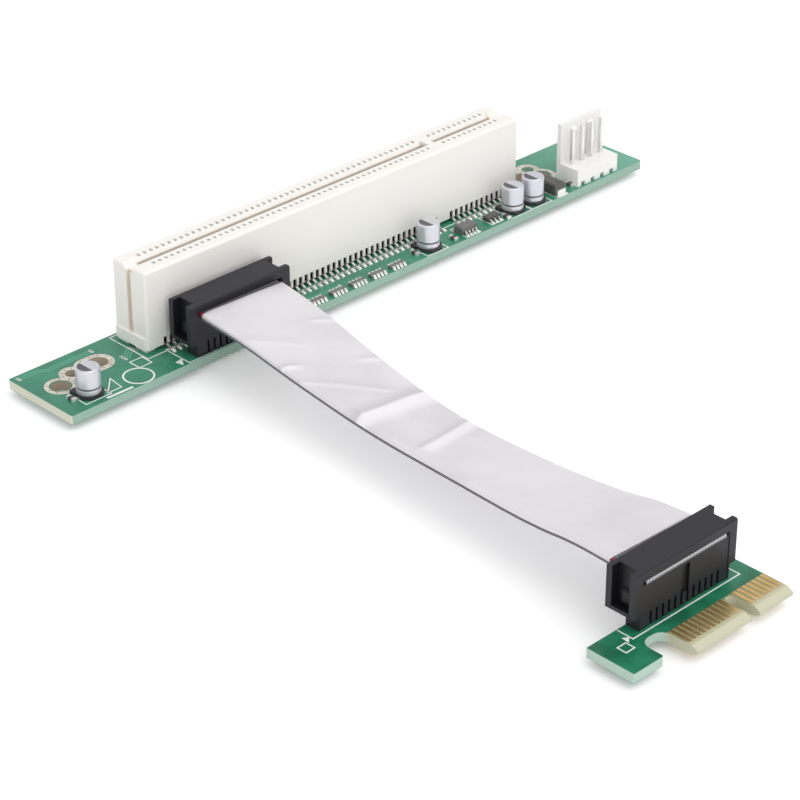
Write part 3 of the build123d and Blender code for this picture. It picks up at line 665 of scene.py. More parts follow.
WHITE_PLASTIC = Moulded(
    "slot_white", Slot.WHITE, (0.915, 0.89, 0.85), cloud=0.015, roughness=0.42, grain=0.01, glow=0.08,
    rooms=SLOT_SHADE_ROOMS)
POWER_PLASTIC = Moulded("power_white", Slot.WHITE, (0.90, 0.89, 0.88), cloud=0.015, grain=0.01, glow=0.08)
HEADER_PLASTIC = Moulded(
    "header_black", Slot.BLACK, (0.019, 0.019, 0.025), cloud=0.12, roughness=0.42, grain=0.014,
    grain_per_mm=7.0, rooms=header_shade_rooms("riser") + header_shade_rooms("edge"), specular=0.32)
PACKAGE_PLASTIC = Moulded("package_black", Slot.PACKAGE, (0.085, 0.08, 0.077), cloud=0.2, roughness=0.38)
REGULATOR_PLASTIC = Moulded("package_grey", Slot.PACKAGE, (0.14, 0.143, 0.14), cloud=0.15)
ARRAY_PLASTIC = Moulded(
    "array_grey", Slot.PACKAGE, (0.15, 0.16, 0.155), cloud=0.12, roughness=0.35, grain=0.01)
CAP_BASE_PLASTIC = Moulded("can_base", Slot.PACKAGE, (0.02, 0.02, 0.025), roughness=0.45, grain=0.01)
CUT_ENDS = Room((-60.0, -10.0), (-60.0, -53.24), (9.0, 12.0), (0.44, 0.44, 0.48), 0.02)
# Painted shade on the first wire where it runs inside the edge header
IN_CHANNEL_SHADE = Room((-60.0, -10.0), (-53.24, -48.5), (9.0, 12.0), (0.03, 0.02, 0.02), 0.02)
# Grey insulation, made darker than its own grey so that the shade on the bare bands by the headers is painted
# in
GREY_WIRE = Moulded(
    "grey_wire", Slot.GREY_WIRE, (0.13, 0.125, 0.13), grain_per_mm=3.0, rooms=(CUT_ENDS,))
RED_WIRE = Moulded(
    "red_wire", Slot.RED_WIRE, (0.24, 0.018, 0.035), roughness=0.38, grain_per_mm=3.0,
    rooms=(CUT_ENDS, IN_CHANNEL_SHADE))

TIN = Plated(
    "bright_tin", Slot.TIN, (0.84, 0.84, 0.84), (0.72, 0.71, 0.69), patch_per_mm=0.5, wave=0.008,
    metallic=0.8)
CONTACT_TIN = Plated(
    "contact_tin", Slot.TIN, (0.56, 0.55, 0.53), (0.42, 0.41, 0.39), roughness=0.34, metallic=0.85,
    rooms=(BLADE_SHADE_ROOM,))
SOLDER = Plated(
    "solder", Slot.TIN, (0.92, 0.92, 0.90), (0.72, 0.71, 0.68), roughness=0.24, patch_per_mm=0.7, wave=0.03,
    metallic=0.55)
HOLE_TIN = Plated(
    "hole_land_tin", Slot.TIN, (0.78, 0.74, 0.66), (0.56, 0.52, 0.44), roughness=0.42, patch_per_mm=0.45,
    wave=0.05, metallic=0.5)
GOLD = Plated(
    "finger_gold", Slot.GOLD, (0.86, 0.60, 0.27), (0.66, 0.43, 0.17), roughness=0.26, patch_per_mm=0.3,
    wave=0.008, metallic=0.9)
CONDUCTOR = Plated(
    "wire_core", Slot.TIN, (0.66, 0.66, 0.70), (0.55, 0.55, 0.58), roughness=0.3, patch_per_mm=2.0)

SILK = Ink("silk_white", Slot.RISER, (0.85, 0.87, 0.85), (0.5, 0.62, 0.55))
RISER_TRACE = Ink("riser_trace", Slot.RISER, (0.10, 0.38, 0.25), (0.07, 0.31, 0.19), roughness=0.3)
# Painted shade: dark discs standing for the insides of open holes
HOLE_SHADE = Ink("painted_hole_shade", Slot.TIN, (0.03, 0.05, 0.04), (0.02, 0.03, 0.03), roughness=0.6)
# Small holes drawn as flat discs: their walls' colour and the shade inside them painted in
HOLE_WALL_AND_SHADE = Ink("hole_wall", Slot.TIN, (0.22, 0.19, 0.15), (0.16, 0.14, 0.11), roughness=0.6)
CAN_MARK = Ink("can_mark", Slot.PACKAGE, (0.085, 0.083, 0.09), (0.15, 0.15, 0.16), roughness=0.4)
# Painted shade along the foil sleeve's lower edge
SHADE_STRIP_INK = Ink("foil_edge", Slot.FOIL, (0.13, 0.13, 0.14), (0.22, 0.22, 0.23))
CAN = Sleeve("can_sleeve", Slot.CAN)


# Meshes


def at_level(plan: np.ndarray, level: float) -> np.ndarray:
    """Plan points set at one height: (x, y) becomes (x, y, level)."""
    return np.concatenate([plan, np.full(plan.shape[:-1] + (1,), level)], -1)


def row(x: np.ndarray, *others: float) -> np.ndarray:
    """Points that differ only in x: their other coordinates are the same for all."""
    return np.stack([x, *(np.full_like(x, value) for value in others)], -1)


@dataclass
class Shape:
    """Closed surfaces gathered for one piece, in millimetres."""

    points: list[np.ndarray] = field(default_factory=list)
    faces: list[list[int]] = field(default_factory=list)
    count: int = 0

    def add(self, points: np.ndarray, faces: Sequence[Sequence[int]]) -> None:
        """Add points and the faces that number them from 0.

        Args:
            points: Array of n by 3.
            faces: Corner numbers of each face.
        """
        self.faces += [[corner + self.count for corner in face] for face in faces]
        self.points.append(points.reshape(-1, 3))
        self.count += self.points[-1].shape[0]

    def add_shells(self, rings: np.ndarray) -> None:
        """Add closed shells, each a row of rings from its first end to its last.

        Neighbouring rings are joined by quads, and each end ring is filled by one flat face. The rings turn
        anticlockwise as seen from the last end, so that the faces point outwards.

        Args:
            rings: Array of copies by rings by points by 3.
        """
        rows, columns = rings.shape[1:3]
        i, j = np.meshgrid(np.arange(rows - 1), np.arange(columns), indexing="ij")
        here, there = i * columns + j, i * columns + (j + 1) % columns
        quads = np.stack([here, there, there + columns, here + columns], -1).reshape(-1, 4).tolist()
        start = list(range(columns))[::-1]
        end = list(range((rows - 1) * columns, rows * columns))
        for copy in rings:
            self.add(copy, [*quads, start, end])

    def add_slabs(self, low: np.ndarray, high: np.ndarray) -> None:
        """Add square-cornered slabs between low and high corners.

        Args:
            low: Array of n by 3.
            high: Array of n by 3.
        """
        low, high = np.atleast_2d(low).astype(float), np.atleast_2d(high).astype(float)
        x = np.stack([low[:, 0], high[:, 0], high[:, 0], low[:, 0]], 1)
        y = np.stack([low[:, 1], low[:, 1], high[:, 1], high[:, 1]], 1)
        levels = [np.repeat(corner[:, 2:], 4, 1) for corner in (low, high)]
        self.add_shells(np.stack([np.stack([x, y, level], -1) for level in levels], 1))

    def add_strips(self, paths: np.ndarray, width: float, bottom: float, top: float) -> None:
        """Add flat strips along plan paths, each offset half its width to both sides, with mitred bends.

        Args:
            paths: Array of strips by points by 2.
            width: Width of every strip.
            bottom: Height of the underside.
            top: Height of the upper side.
        """
        run = np.diff(paths, axis=1)
        run /= np.linalg.norm(run, axis=-1, keepdims=True)
        before = np.concatenate([run[:, :1], run], 1)
        after = np.concatenate([run, run[:, -1:]], 1)
        side = before + after
        side /= np.linalg.norm(side, axis=-1, keepdims=True)
        normal = np.stack([-side[..., 1], side[..., 0]], -1)
        reach = width / 2 / np.maximum((side * after).sum(-1, keepdims=True), 0.3)
        left, right = paths + normal * reach, paths - normal * reach
        corners = [(left, bottom), (left, top), (right, top), (right, bottom)]
        self.add_shells(np.stack([at_level(edge, level) for edge, level in corners], 2))

    def add_discs(self, centres: np.ndarray, radius: float, bottom: float, top: float, sides: int) -> None:
        """Add round discs: rings of the radius at both levels.

        Args:
            centres: Array of n by 2.
            radius: Radius of every disc.
            bottom: Height of the underside.
            top: Height of the upper side.
            sides: Points round each disc.
        """
        self.add_turned(centres, np.array([[radius, bottom], [radius, top]]), sides)

    def add_turned(self, centres: np.ndarray, profile: np.ndarray, sides: int,
                   stretch: Pair = (1.0, 1.0)) -> None:
        """Add shapes turned round upright axes: each profile point (r, z) runs round a circle of radius r.

        Args:
            centres: Array of n by 2.
            profile: Array of points by 2, radius and height, from the lowest up.
            sides: Points round each circle.
            stretch: Scales of the circle along X and Y.
        """
        angle = np.linspace(0, 2 * np.pi, sides, endpoint=False)
        turn = np.stack([np.cos(angle) * stretch[0], np.sin(angle) * stretch[1]], -1)
        rings = profile[:, None, :1] * turn[None]
        rings = np.concatenate([rings, np.repeat(profile[:, None, 1:], sides, 1)], -1)
        self.add_shells(rings[None] + at_level(centres, 0.0)[:, None, None])

    def add_plates(self, outlines: np.ndarray, bottom: float, top: float) -> None:
        """Add flat plates with straight sides: the outline at both levels.

        Args:
            outlines: Array of plates by points by 2, anticlockwise from above.
            bottom: Height of the underside.
            top: Height of the upper side.
        """
        self.add_shells(np.stack([at_level(outlines, level) for level in (bottom, top)], 1))

    def add_rods(self, centres: np.ndarray, radius: float, near: float, far: float,
                 sides: int = 10) -> None:
        """Add round rods that lie along Y: rings of the radius at both ends.

        Args:
            centres: Array of n by 2, x and z.
            radius: Radius of every rod.
            near: Lowest y.
            far: Highest y.
            sides: Points round each rod.
        """
        angle = np.linspace(0, -2 * np.pi, sides, endpoint=False)
        x = centres[:, :1] + radius * np.cos(angle)
        z = centres[:, 1:] + radius * np.sin(angle)
        rings = [np.stack([x, np.full_like(x, y), z], -1) for y in (near, far)]
        self.add_shells(np.stack(rings, 1))

    def piece(self, name: str, finish: Finish, smooth: bool = False) -> bpy.types.Object:
        """Turn the gathered surfaces into one object that rides on the body.

        Args:
            name: The piece's name.
            finish: Its finish.
            smooth: Whether its faces are shaded smooth.

        Returns:
            The new object.
        """
        mesh = bpy.data.meshes.new(name)
        mesh.from_pydata((np.concatenate(self.points) * MM).tolist(), [], self.faces)
        mesh.polygons.foreach_set("use_smooth", [smooth] * len(mesh.polygons))
        mesh.materials.append(finish.material())
        made = put(name, mesh)
        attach(made, BODY)
        LOG.info("%s: %d faces", name, len(self.faces))
        return made


def circle(centre: Sequence[float], radius: float, count: int = 40) -> np.ndarray:
    """Closed path round a circle: points at equal angles, the first one repeated at the end.

    Args:
        centre: Its middle, x and y.
        radius: Its radius.
        count: Steps round it.

    Returns:
        Array of count + 1 by 2.
    """
    angle = np.linspace(0, 2 * np.pi, count + 1)
    return np.stack([centre[0] + radius * np.cos(angle), centre[1] + radius * np.sin(angle)], -1)


def frame_path(low: Sequence[float], high: Sequence[float]) -> np.ndarray:
    """Closed rectangular path that starts in the middle of its front side.

    Args:
        low: Lowest corner, x and y.
        high: Highest corner, x and y.

    Returns:
        Array of 6 by 2.
    """
    middle = (low[0] + high[0]) / 2
    return np.array([(middle, low[1]), (high[0], low[1]), (high[0], high[1]), (low[0], high[1]),
                     (low[0], low[1]), (middle, low[1])])


def dress(finish: Finish, *nodes: str) -> None:
    """Give CAD nodes a finish.

    Args:
        finish: The finish.
        nodes: Names of the nodes.
    """
    for node in nodes:
        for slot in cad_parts[node].material_slots:
            slot.material = finish.material()
        LOG.info("%s: finish %s", node, finish.name)


# The object's sub-assemblies


@dataclass
class Cable:
    """Ribbon of side-by-side wires in a creased foil sleeve, between the two headers."""

    wires: int = 26
    pitch: float = CONTACT_PITCH / 2
    thickness: float = 0.7
    web_share: float = 0.3
    route: tuple[Pair, ...] = (
        (12.2, 0.0), (31.2, -2.9), (48.8, -4.4), (66.2, -3.5), (82.3, -2.3), (93.4, 0.0))
    twist: float = 1.7
    square_run: float = 25.0
    foil: float = 0.17
    foil_corner: Pair = (0.55, 0.18)
    foil_edge: float = 0.8
    dents: int = 14
    dent_height: float = 0.022
    deepest: float = 0.05
    bare_riser: float = 0.9
    bare_edge: float = 1.6
    header_depth: float = 5.2
    # Strip of painted shade along the sleeve's lower edge: its width, and how far it stands out sideways and
    # below
    shade_strip: float = 1.2
    shade_strip_proud: Pair = (0.03, 0.05)
    core: float = 0.13
    core_proud: float = 0.03

    def __post_init__(self) -> None:
        """Work out the ends from the headers."""
        self.width = self.wires * self.pitch
        riser_low, riser_high = extent("riser_header_body")
        edge_low, edge_high = extent("edge_header_body")
        level = riser_high[2] - self.thickness / 2
        self.start = np.array([(riser_low[0] + riser_high[0]) / 2, riser_high[1], level])
        self.end = np.array([(edge_low[0] + edge_high[0]) / 2, edge_low[1], level])
        self.line = self.follow(self.control_points())
        steps = np.linalg.norm(np.diff(self.line, axis=0), axis=1)
        self.travel = np.concatenate([[0.0], np.cumsum(steps)])
        self.length = float(self.travel[-1])

    def control_points(self) -> np.ndarray:
        """The route's points in the part's frame: along the line between the headers, and up or down."""
        along = self.end - self.start
        distance = np.linalg.norm(along)
        route = np.array([(0.0, 0.0), *self.route, (distance, 0.0)])
        return self.start + route[:, :1] * along / distance + route[:, 1:] * np.array([0.0, 0.0, 1.0])

    def follow(self, points: np.ndarray) -> np.ndarray:
        """Points along the smooth spline of the given control points.

        Args:
            points: Control points, n by 3.

        Returns:
            Points along the spline, m by 3.
        """
        curve = bpy.data.curves.new("cable_route", "CURVE")
        curve.dimensions = "3D"
        curve.resolution_u = 24
        spline = curve.splines.new("NURBS")
        spline.points.add(len(points) - 1)
        spline.points.foreach_set("co", np.concatenate([points, np.ones((len(points), 1))], 1).ravel())
        spline.order_u = 3
        spline.use_endpoint_u = True
        holder = put("cable_route", curve)
        bpy.context.view_layer.update()
        mesh = bpy.data.meshes.new_from_object(holder)
        places = np.zeros(len(mesh.vertices) * 3)
        mesh.vertices.foreach_get("co", places)
        bpy.data.objects.remove(holder)
        bpy.data.curves.remove(curve)
        bpy.data.meshes.remove(mesh)
        return places.reshape(-1, 3)

    def frames(self, travel: np.ndarray) -> tuple[np.ndarray, np.ndarray, np.ndarray]:
        """Middle point, across direction and upward direction at distances along the cable.

        Across is level and square to the run, then tilted about the run so that the first wire's edge lies
        higher: its rise is twist * sin(pi * s / length) ^ 1.5. Near the ends it leans along the run until it
        is parallel to X, so that the cut ends are flush with the headers.

        Args:
            travel: Distances from the riser header's back face.

        Returns:
            Middle points, across directions and upward directions, each n by 3.
        """
        behind, middle, ahead = (
            np.stack([np.interp(travel + step, self.travel, axis) for axis in self.line.T], -1)
            for step in (-0.5, 0.0, 0.5))
        run = ahead - behind
        run /= np.linalg.norm(run, axis=1, keepdims=True)
        level = np.cross([0.0, 0.0, 1.0], run)
        level /= np.linalg.norm(level, axis=1, keepdims=True)
        up = np.cross(run, level)
        rise = self.twist * np.clip(np.sin(np.pi * travel / self.length), 0, 1) ** 1.5
        tilt = np.arcsin(rise / (self.width / 2))[:, None]
        across = level * np.cos(tilt) - up * np.sin(tilt)
        upward = up * np.cos(tilt) + level * np.sin(tilt)
        from_end = np.minimum(travel, self.length - travel) / self.square_run
        across += run * (-level[:, 1:2] / run[:, 1:2]) * np.clip(1 - from_end, 0, 1)[:, None]
        return middle, across, upward

    def ribs(self, first: int, last: int, samples: int) -> np.ndarray:
        """Outline of some of the wires side by side: round tops and undersides joined by thin webs.

        Half the outline's height over a wire at phase p from its middle is
        web + (thickness / 2 - web) * sqrt(1 - p^2), with p from -1 to 1.

        Args:
            first: Number of the first wire.
            last: Number after the last wire.
            samples: Points over each wire.

        Returns:
            Array of points by 2: place across, and height, anticlockwise from the first wire's underside.
        """
        phase = np.linspace(-1, 1, samples + 1)[:-1]
        web = self.thickness * self.web_share
        lobe = web + (self.thickness / 2 - web) * np.sqrt(1 - phase ** 2)
        numbers = np.arange(first, last)[:, None]
        across = ((numbers + 0.5) * self.pitch + phase * self.pitch / 2 - self.width / 2).ravel()
        height = np.tile(lobe, last - first)
        across = np.append(across, last * self.pitch - self.width / 2)
        height = np.append(height, web)
        top = np.stack([across, height], -1)[::-1]
        underside = np.stack([across, -height], -1)
        return np.concatenate([underside, top])

    def carry(self, outline: np.ndarray, travel: np.ndarray) -> np.ndarray:
        """Rings of an outline carried along the cable: middle + across * u + upward * v.

        Args:
            outline: Array of points by 2, or of rings by points by 2.
            travel: Distances along the cable, one for each ring.

        Returns:
            One copy of rings by points by 3.
        """
        middle, across, upward = self.frames(travel)
        outline = np.broadcast_to(outline, (len(travel),) + outline.shape[-2:])
        rings = middle[:, None] + outline[..., :1] * across[:, None] + outline[..., 1:] * upward[:, None]
        return rings[None]

    def wire_piece(self, name: str, first: int, last: int, finish: Finish, node: str) -> bpy.types.Object:
        """Ribbed piece of some of the wires.

        Args:
            name: The piece's name.
            first: Number of the first wire.
            last: Number after the last wire.
            finish: Its finish.
            node: The CAD node that it stands for.

        Returns:
            The new object.
        """
        shape = Shape()
        shape.add_shells(self.carry(self.ribs(first, last, 6), np.linspace(0, self.length, 90)))
        made = shape.piece(name, finish, True)
        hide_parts(node)
        return made

    def sleeve_outline(self, count: int) -> np.ndarray:
        """Flat rounded outline of the sleeve: a superellipse with an exponent for each axis.

        At an angle t it lies at cos(t) ^ p * half width across and sin(t) ^ q * half thickness up, where the
        powers keep the sign, and p and q are foil_corner.

        Args:
            count: Points round it.

        Returns:
            Array of points by 2.
        """
        angle = np.linspace(0, 2 * np.pi, count, endpoint=False)
        turn = np.stack([np.cos(angle), np.sin(angle)], -1)
        half = np.array([self.width / 2 + self.foil, self.thickness / 2 + self.foil])
        return np.sign(turn) * np.abs(turn) ** np.array(self.foil_corner) * half

    def folds(self, travel: np.ndarray, across: np.ndarray) -> np.ndarray:
        """Height of the foil's creases and soft dents over the sleeve.

        The dents are a sum of sine waves, each with its own direction, length and phase drawn at random.

        Args:
            travel: Distances along the cable.
            across: Distances across it, same shape.

        Returns:
            Heights, same shape.
        """
        height = sum(fold.height(travel, across) for fold in FOLDS)
        rng = np.random.default_rng(5)
        for _ in range(self.dents):
            turn, wave, phase = rng.uniform(0, np.pi), rng.uniform(0.15, 0.7), rng.uniform(0, 2 * np.pi)
            along = travel * np.cos(turn) + across * np.sin(turn)
            height += self.dent_height * np.sin(along * wave + phase)
        return height

    def foil_reach(self) -> Pair:
        """Distances along the cable at which the foil starts and ends."""
        return self.header_depth + self.bare_riser, self.length - self.header_depth - self.bare_edge

    def foil_finish(self) -> FoilTape:
        """Foil tape with its folds placed along this cable."""
        run = (self.end - self.start)[:2]
        along = run / np.linalg.norm(run)
        return FoilTape("foil_tape", Slot.FOIL, tuple(self.start[:2].tolist()), tuple(along.tolist()))

    def foil_piece(self) -> bpy.types.Object:
        """Creased sleeve over the ribbon: the outline carried along, its top raised by the folds."""
        travel = np.linspace(*self.foil_reach(), 420)
        outline = self.sleeve_outline(120)
        rings = np.broadcast_to(outline, (len(travel),) + outline.shape).copy()
        from_edge = self.width / 2 - np.abs(outline[:, 0])
        raised = self.folds(*np.meshgrid(travel, outline[:, 0], indexing="ij"))
        raised = np.maximum(raised, -self.deepest) * np.clip(from_edge / self.foil_edge, 0, 1)
        rings[..., 1] += raised * (outline[:, 1] > 0)
        shape = Shape()
        shape.add_shells(self.carry(rings, travel))
        made = shape.piece("foil_sleeve", self.foil_finish(), True)
        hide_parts("ribbon_foil")
        return made

    def shade_strip_piece(self) -> bpy.types.Object:
        """Painted shade: a thin dark strip along the underside of the sleeve's edge away from the first wire.
        """
        side, low = -self.width / 2 - self.foil, -self.thickness / 2 - self.foil
        outer, under = side - self.shade_strip_proud[0], low - self.shade_strip_proud[1]
        outline = np.array([(outer, under), (side + self.shade_strip, under), (side + self.shade_strip, low + 0.1),
                            (side + 0.15, low + 0.3), (outer, low + 0.34)])
        shape = Shape()
        shape.add_shells(self.carry(outline, np.linspace(*self.foil_reach(), 160)))
        return shape.piece("foil_shade_strip", SHADE_STRIP_INK)

    def wire_ends(self) -> None:
        """Bare cores that show in the cut ends, on the edge header's front."""
        x = self.end[0] + (np.arange(self.wires) + 0.5) * self.pitch - self.width / 2
        front = self.end[1]
        shape = Shape()
        shape.add_rods(row(x, self.end[2]), self.core, front - self.core_proud, front + 1)
        shape.piece("wire_cores", CONDUCTOR, True)

    def build(self) -> None:
        grey = self.wire_piece("ribbon", 1, self.wires, GREY_WIRE, "ribbon_wires")
        red = self.wire_piece("first_wire", 0, 1, RED_WIRE, "ribbon_first_wire")
        sleeve, shade_strip = self.foil_piece(), self.shade_strip_piece()
        self.wire_ends()
        self.start * MM


# Solder round a pin under a board: share of the pin's half width, and height from the underside
TAIL = ((1.25, -0.75), (1.5, -0.5), (2.3, -0.15), (2.9, SUNK))


def solder_tails(name: str, node: str, pitch: float, half: float) -> None:
    """Solder cones under a board, round the pins of one header.

    Args:
        name: Start of the piece's name.
        node: The CAD node of the pins.
        pitch: Distance between neighbouring pins.
        half: Half a pin's width.
    """
    low, high = extent(node)
    x = np.arange(low[0] + half, high[0], pitch)
    rows = [(low[1] + high[1]) / 2] if high[1] - low[1] < pitch else [low[1] + half, high[1] - half]
    centres = np.stack([axis.ravel() for axis in np.meshgrid(x, rows)], -1)
    underside = float(extent("riser_board")[0][2])
    shape = Shape()
    shape.add_turned(centres, np.array(TAIL) * [half, 1.0] + [0.0, underside], 12)
    shape.piece(f"{name}_tails", SOLDER, True)


@dataclass
class CardSlot:
    """Upright card slot with its two rows of soldered contacts."""

    pitch: float = CONTACT_PITCH
    positions: int = 62
    key: tuple[int, int] = (50, 51)
    fillet: Pair = (0.36, 0.75)
    fillet_height: float = 0.42
    fillet_turn: float = 0.9
    fillet_back: float = 0.35
    pad: Pair = (0.7, 1.9)
    pad_front: float = 0.3
    pad_layer: Pair = (0.02, 0.05)

    def contact_x(self) -> np.ndarray:
        """Places of the contacts along the slot, without the key's."""
        low, high = extent("pci_slot_housing")
        end_wall = (high[0] - low[0] - (self.positions - 1) * self.pitch) / 2
        numbers = np.arange(1, self.positions + 1)
        return low[0] + end_wall + (numbers[~np.isin(numbers, self.key)] - 1) * self.pitch

    def solder(self, x: np.ndarray, front: float) -> None:
        """Round fillets of solder on the contacts' feet: a quarter turn of an ellipse.

        Args:
            x: Places of the contacts.
            front: Y of the front of their feet.
        """
        rise = np.linspace(0, 1, 5) * np.pi / 2
        profile = [np.cos(rise * self.fillet_turn), board_top() + self.fillet_height * np.sin(rise)]
        shape = Shape()
        shape.add_turned(row(x, front + self.fillet_back), np.stack(profile, -1), 12, self.fillet)
        shape.piece("slot_solder", SOLDER, True)

    def pads(self, x: np.ndarray, front: float) -> None:
        """Tinned pads under the contacts' feet.

        Args:
            x: Places of the contacts.
            front: Y of the front of their feet.
        """
        under, height = self.pad_layer
        low = row(x - self.pad[0] / 2, front - self.pad_front, board_top() - under)
        shape = Shape()
        shape.add_slabs(low, low + [*self.pad, height])
        shape.piece("slot_pads", SOLDER)

    def build(self) -> None:
        """Dress the slot and add the solder under its contacts."""
        dress(WHITE_PLASTIC, "pci_slot_housing")
        dress(CONTACT_TIN, "pci_contacts_front", "pci_contacts_rear")
        x, front = self.contact_x(), float(extent("pci_contacts_front")[0][1])
        self.solder(x, front)
        self.pads(x, front)


@dataclass(frozen=True)
class Bundle:
    """Copper lines side by side under the mask, with two bends each.

    Each runs on by first, steps aside by step over the same length, and runs on by last.
    """

    start: Pair
    first: float
    step: float
    last: float
    lines: int

    def paths(self, spacing: float) -> np.ndarray:
        """Plan paths of the lines.

        Args:
            spacing: Distance between neighbouring lines.

        Returns:
            Array of lines by 4 by 2.
        """
        x, y = self.start
        bend, beyond = x + self.first, x + self.first + abs(self.step)
        path = [(x, y), (bend, y), (beyond, y + self.step), (beyond + self.last, y + self.step)]
        return np.array(path) + np.arange(self.lines)[:, None, None] * [0.0, -spacing]


BUNDLES = (
    Bundle((41.3, 59.9), 5.0, -1.4, 12.0, 4),
    Bundle((50.5, 52.6), 3.0, 1.6, 8.0, 4),
    Bundle((-64.6, 60.4), 4.0, -0.8, 9.0, 2),
    Bundle((-48.5, 54.6), 0.8, 1.2, 0.9, 3),
    Bundle((-20.0, 49.0), 4.0, -0.9, 8.0, 2),
    Bundle((41.5, 51.4), 3.0, 0.6, 3.0, 2),
)


@dataclass
class RiserBoard:
    """Long green board with its marks, lands and small parts."""

    ink: float = 0.025
    line: float = 0.2
    slot_border: Place = (0.75, 1.2, 0.5)
    header_border: Place = (0.75, 0.22, 0.4)
    part_border: Place = (0.3, 0.3, 0.3)
    ring: Place = (-50.45, 47.85, 2.45)
    ring_line: float = 0.3
    pin_square: tuple[Pair, Pair] = ((-48.7, 49.75), (-46.2, 52.2))
    arrow: tuple[Pair, ...] = ((-43.6, 47.1), (-43.2, 45.55), (-41.9, 47.4))
    bar: tuple[Pair, Pair] = ((-58.4, 45.85), (-53.3, 45.75))
    bar_line: float = 0.5
    triangle: tuple[Pair, ...] = (
        (-55.5, 47.0), (-54.6, 47.0), (-54.2, 50.3), (-57.3, 47.0), (-55.5, 47.0))
    trace_spacing: float = 0.62
    trace: Pair = (0.26, 0.012)
    via_rim: Pair = (0.3, 0.02)
    via_hole: Pair = (0.14, 0.028)
    arrays: int = 5
    array_pitch: float = 4.55
    array_ends: int = 4
    array_end_pitch: float = 0.8
    array_end_half: float = 0.25
    lead_half: float = 0.175
    solder_overlap: float = 0.05
    can_radius: float = 1.62
    can_segment: Pair = (100.0, 260.0)
    can_layer: Pair = (0.05, 0.015)
    dots: int = 9
    dot_turn: float = 0.3
    dot_radius: float = 0.13
    dot_away: float = 0.55
    dot_clear: float = 0.35
    dot_proud: float = 0.075
    first_dot: float = -64.9

    def __post_init__(self) -> None:
        """Read the levels between which a layer on the board lies."""
        self.top = board_top()
        self.base = self.top - SUNK

    def border(self, node: str, room: Place) -> np.ndarray:
        """Path of a printed frame round a CAD node.

        Args:
            node: The node's name.
            room: Distances from its ends, its front and its back.

        Returns:
            Array of 6 by 2.
        """
        low, high = extent(node)
        ends, front, back = room
        return frame_path((low[0] - ends, low[1] - front), (high[0] + ends, high[1] + back))

    def silk(self) -> None:
        """White printed lines: outlines of the slot, the header and the parts, and a few plain marks."""
        parts = ["regulator_leads", "power_switch_leads", "diode_tabs"]
        parts += [f"capacitor_{number}_base" for number in range(1, 5)]
        frames = [
            self.border("pci_slot_housing", self.slot_border),
            self.border("riser_header_body", self.header_border),
            frame_path(*self.pin_square),
            *(self.border(part, self.part_border) for part in parts),
        ]
        strips = [
            (np.stack(frames), self.line),
            (circle(self.ring[:2], self.ring[2])[None], self.ring_line),
            (np.array([self.bar]), self.bar_line),
            (np.array([self.triangle]), self.line),
        ]
        shape = Shape()
        for paths, width in strips:
            shape.add_strips(paths, width, self.base, self.top + self.ink)
        shape.add_plates(np.array([self.arrow]), self.base, self.top + self.ink)
        shape.piece("riser_silk", SILK)

    def traces(self) -> None:
        """Copper lines under the mask with a plated hole at each end: a tinned rim round a dark disc of
        painted shade.
        """
        paths = np.concatenate([bundle.paths(self.trace_spacing) for bundle in BUNDLES])
        width, height = self.trace
        shape = Shape()
        shape.add_strips(paths, width, self.base, self.top + height)
        shape.piece("riser_traces", RISER_TRACE)
        ends = paths[:, [0, -1]].reshape(-1, 2)
        for name, (radius, height), sides, finish in (
                ("via_rims", self.via_rim, 14, SOLDER), ("via_hole_shades", self.via_hole, 10, HOLE_SHADE)):
            shape = Shape()
            shape.add_discs(ends, radius, self.base, self.top + height, sides)
            shape.piece(name, finish)

    def pads(self) -> None:
        """Solder in front of and behind the terminals of the small parts, sloping down to the board."""
        first = extent("resistor_array_terminals")[0][0] + self.array_end_half
        bodies = np.arange(self.arrays) * self.array_pitch
        x = first + np.add.outer(bodies, np.arange(self.array_ends) * self.array_end_pitch).ravel()
        # Node, middles of its terminals, half a fillet's width, its reach and its height
        rows = [("resistor_array_terminals", x, 0.24, 0.42, 0.4)]
        for node, count in (("regulator_leads", 4), ("power_switch_leads", 3)):
            low, high = extent(node)
            x = np.linspace(low[0] + self.lead_half, high[0] - self.lead_half, count)
            rows.append((node, x, 0.25, 0.5, 0.3))
        low, high = extent("diode_tabs")
        rows.append(("diode_tabs", (low[:1] + high[:1]) / 2, 1.1, 0.5, 0.3))
        shape = Shape()
        for node, x, half, reach, height in rows:
            low, high = extent(node)
            self.fillets(shape, x, low[1], -1, half, reach, height)
            self.fillets(shape, x, high[1], 1, half, reach, height)
        shape.piece("part_solder", SOLDER)

    def fillets(self, shape: Shape, x: np.ndarray, y: float, side: int, half: float, reach: float,
                height: float) -> None:
        """Add wedges of solder that lean on a terminal's face and run out over their pads.

        Args:
            shape: Where they go.
            x: Middles of the terminals.
            y: The terminals' outer face.
            side: -1 when they face the front, 1 when they face the back.
            half: Half their width.
            reach: How far they run out.
            height: How high they climb.
        """
        # Share of the reach, and height over the board
        slope = np.array([(0.0, height), (0.25, height * 0.45), (0.6, height * 0.18), (1.0, 0.02)])
        inner = y - side * self.solder_overlap
        outline = np.concatenate([
            [(inner, self.base), (inner, self.top + height)],
            np.stack([y + side * slope[:, 0] * reach, self.top + slope[:, 1]], -1),
            [(y + side * reach, self.base)],
        ])
        if side < 0:
            outline = outline[::-1]
        outlines = np.broadcast_to(outline, (len(x),) + outline.shape)
        across = np.broadcast_to(x[:, None, None], outlines.shape[:-1] + (1,))
        ends = [np.concatenate([across + shift, outlines], -1) for shift in (half, -half)]
        shape.add_shells(np.stack(ends, 1))

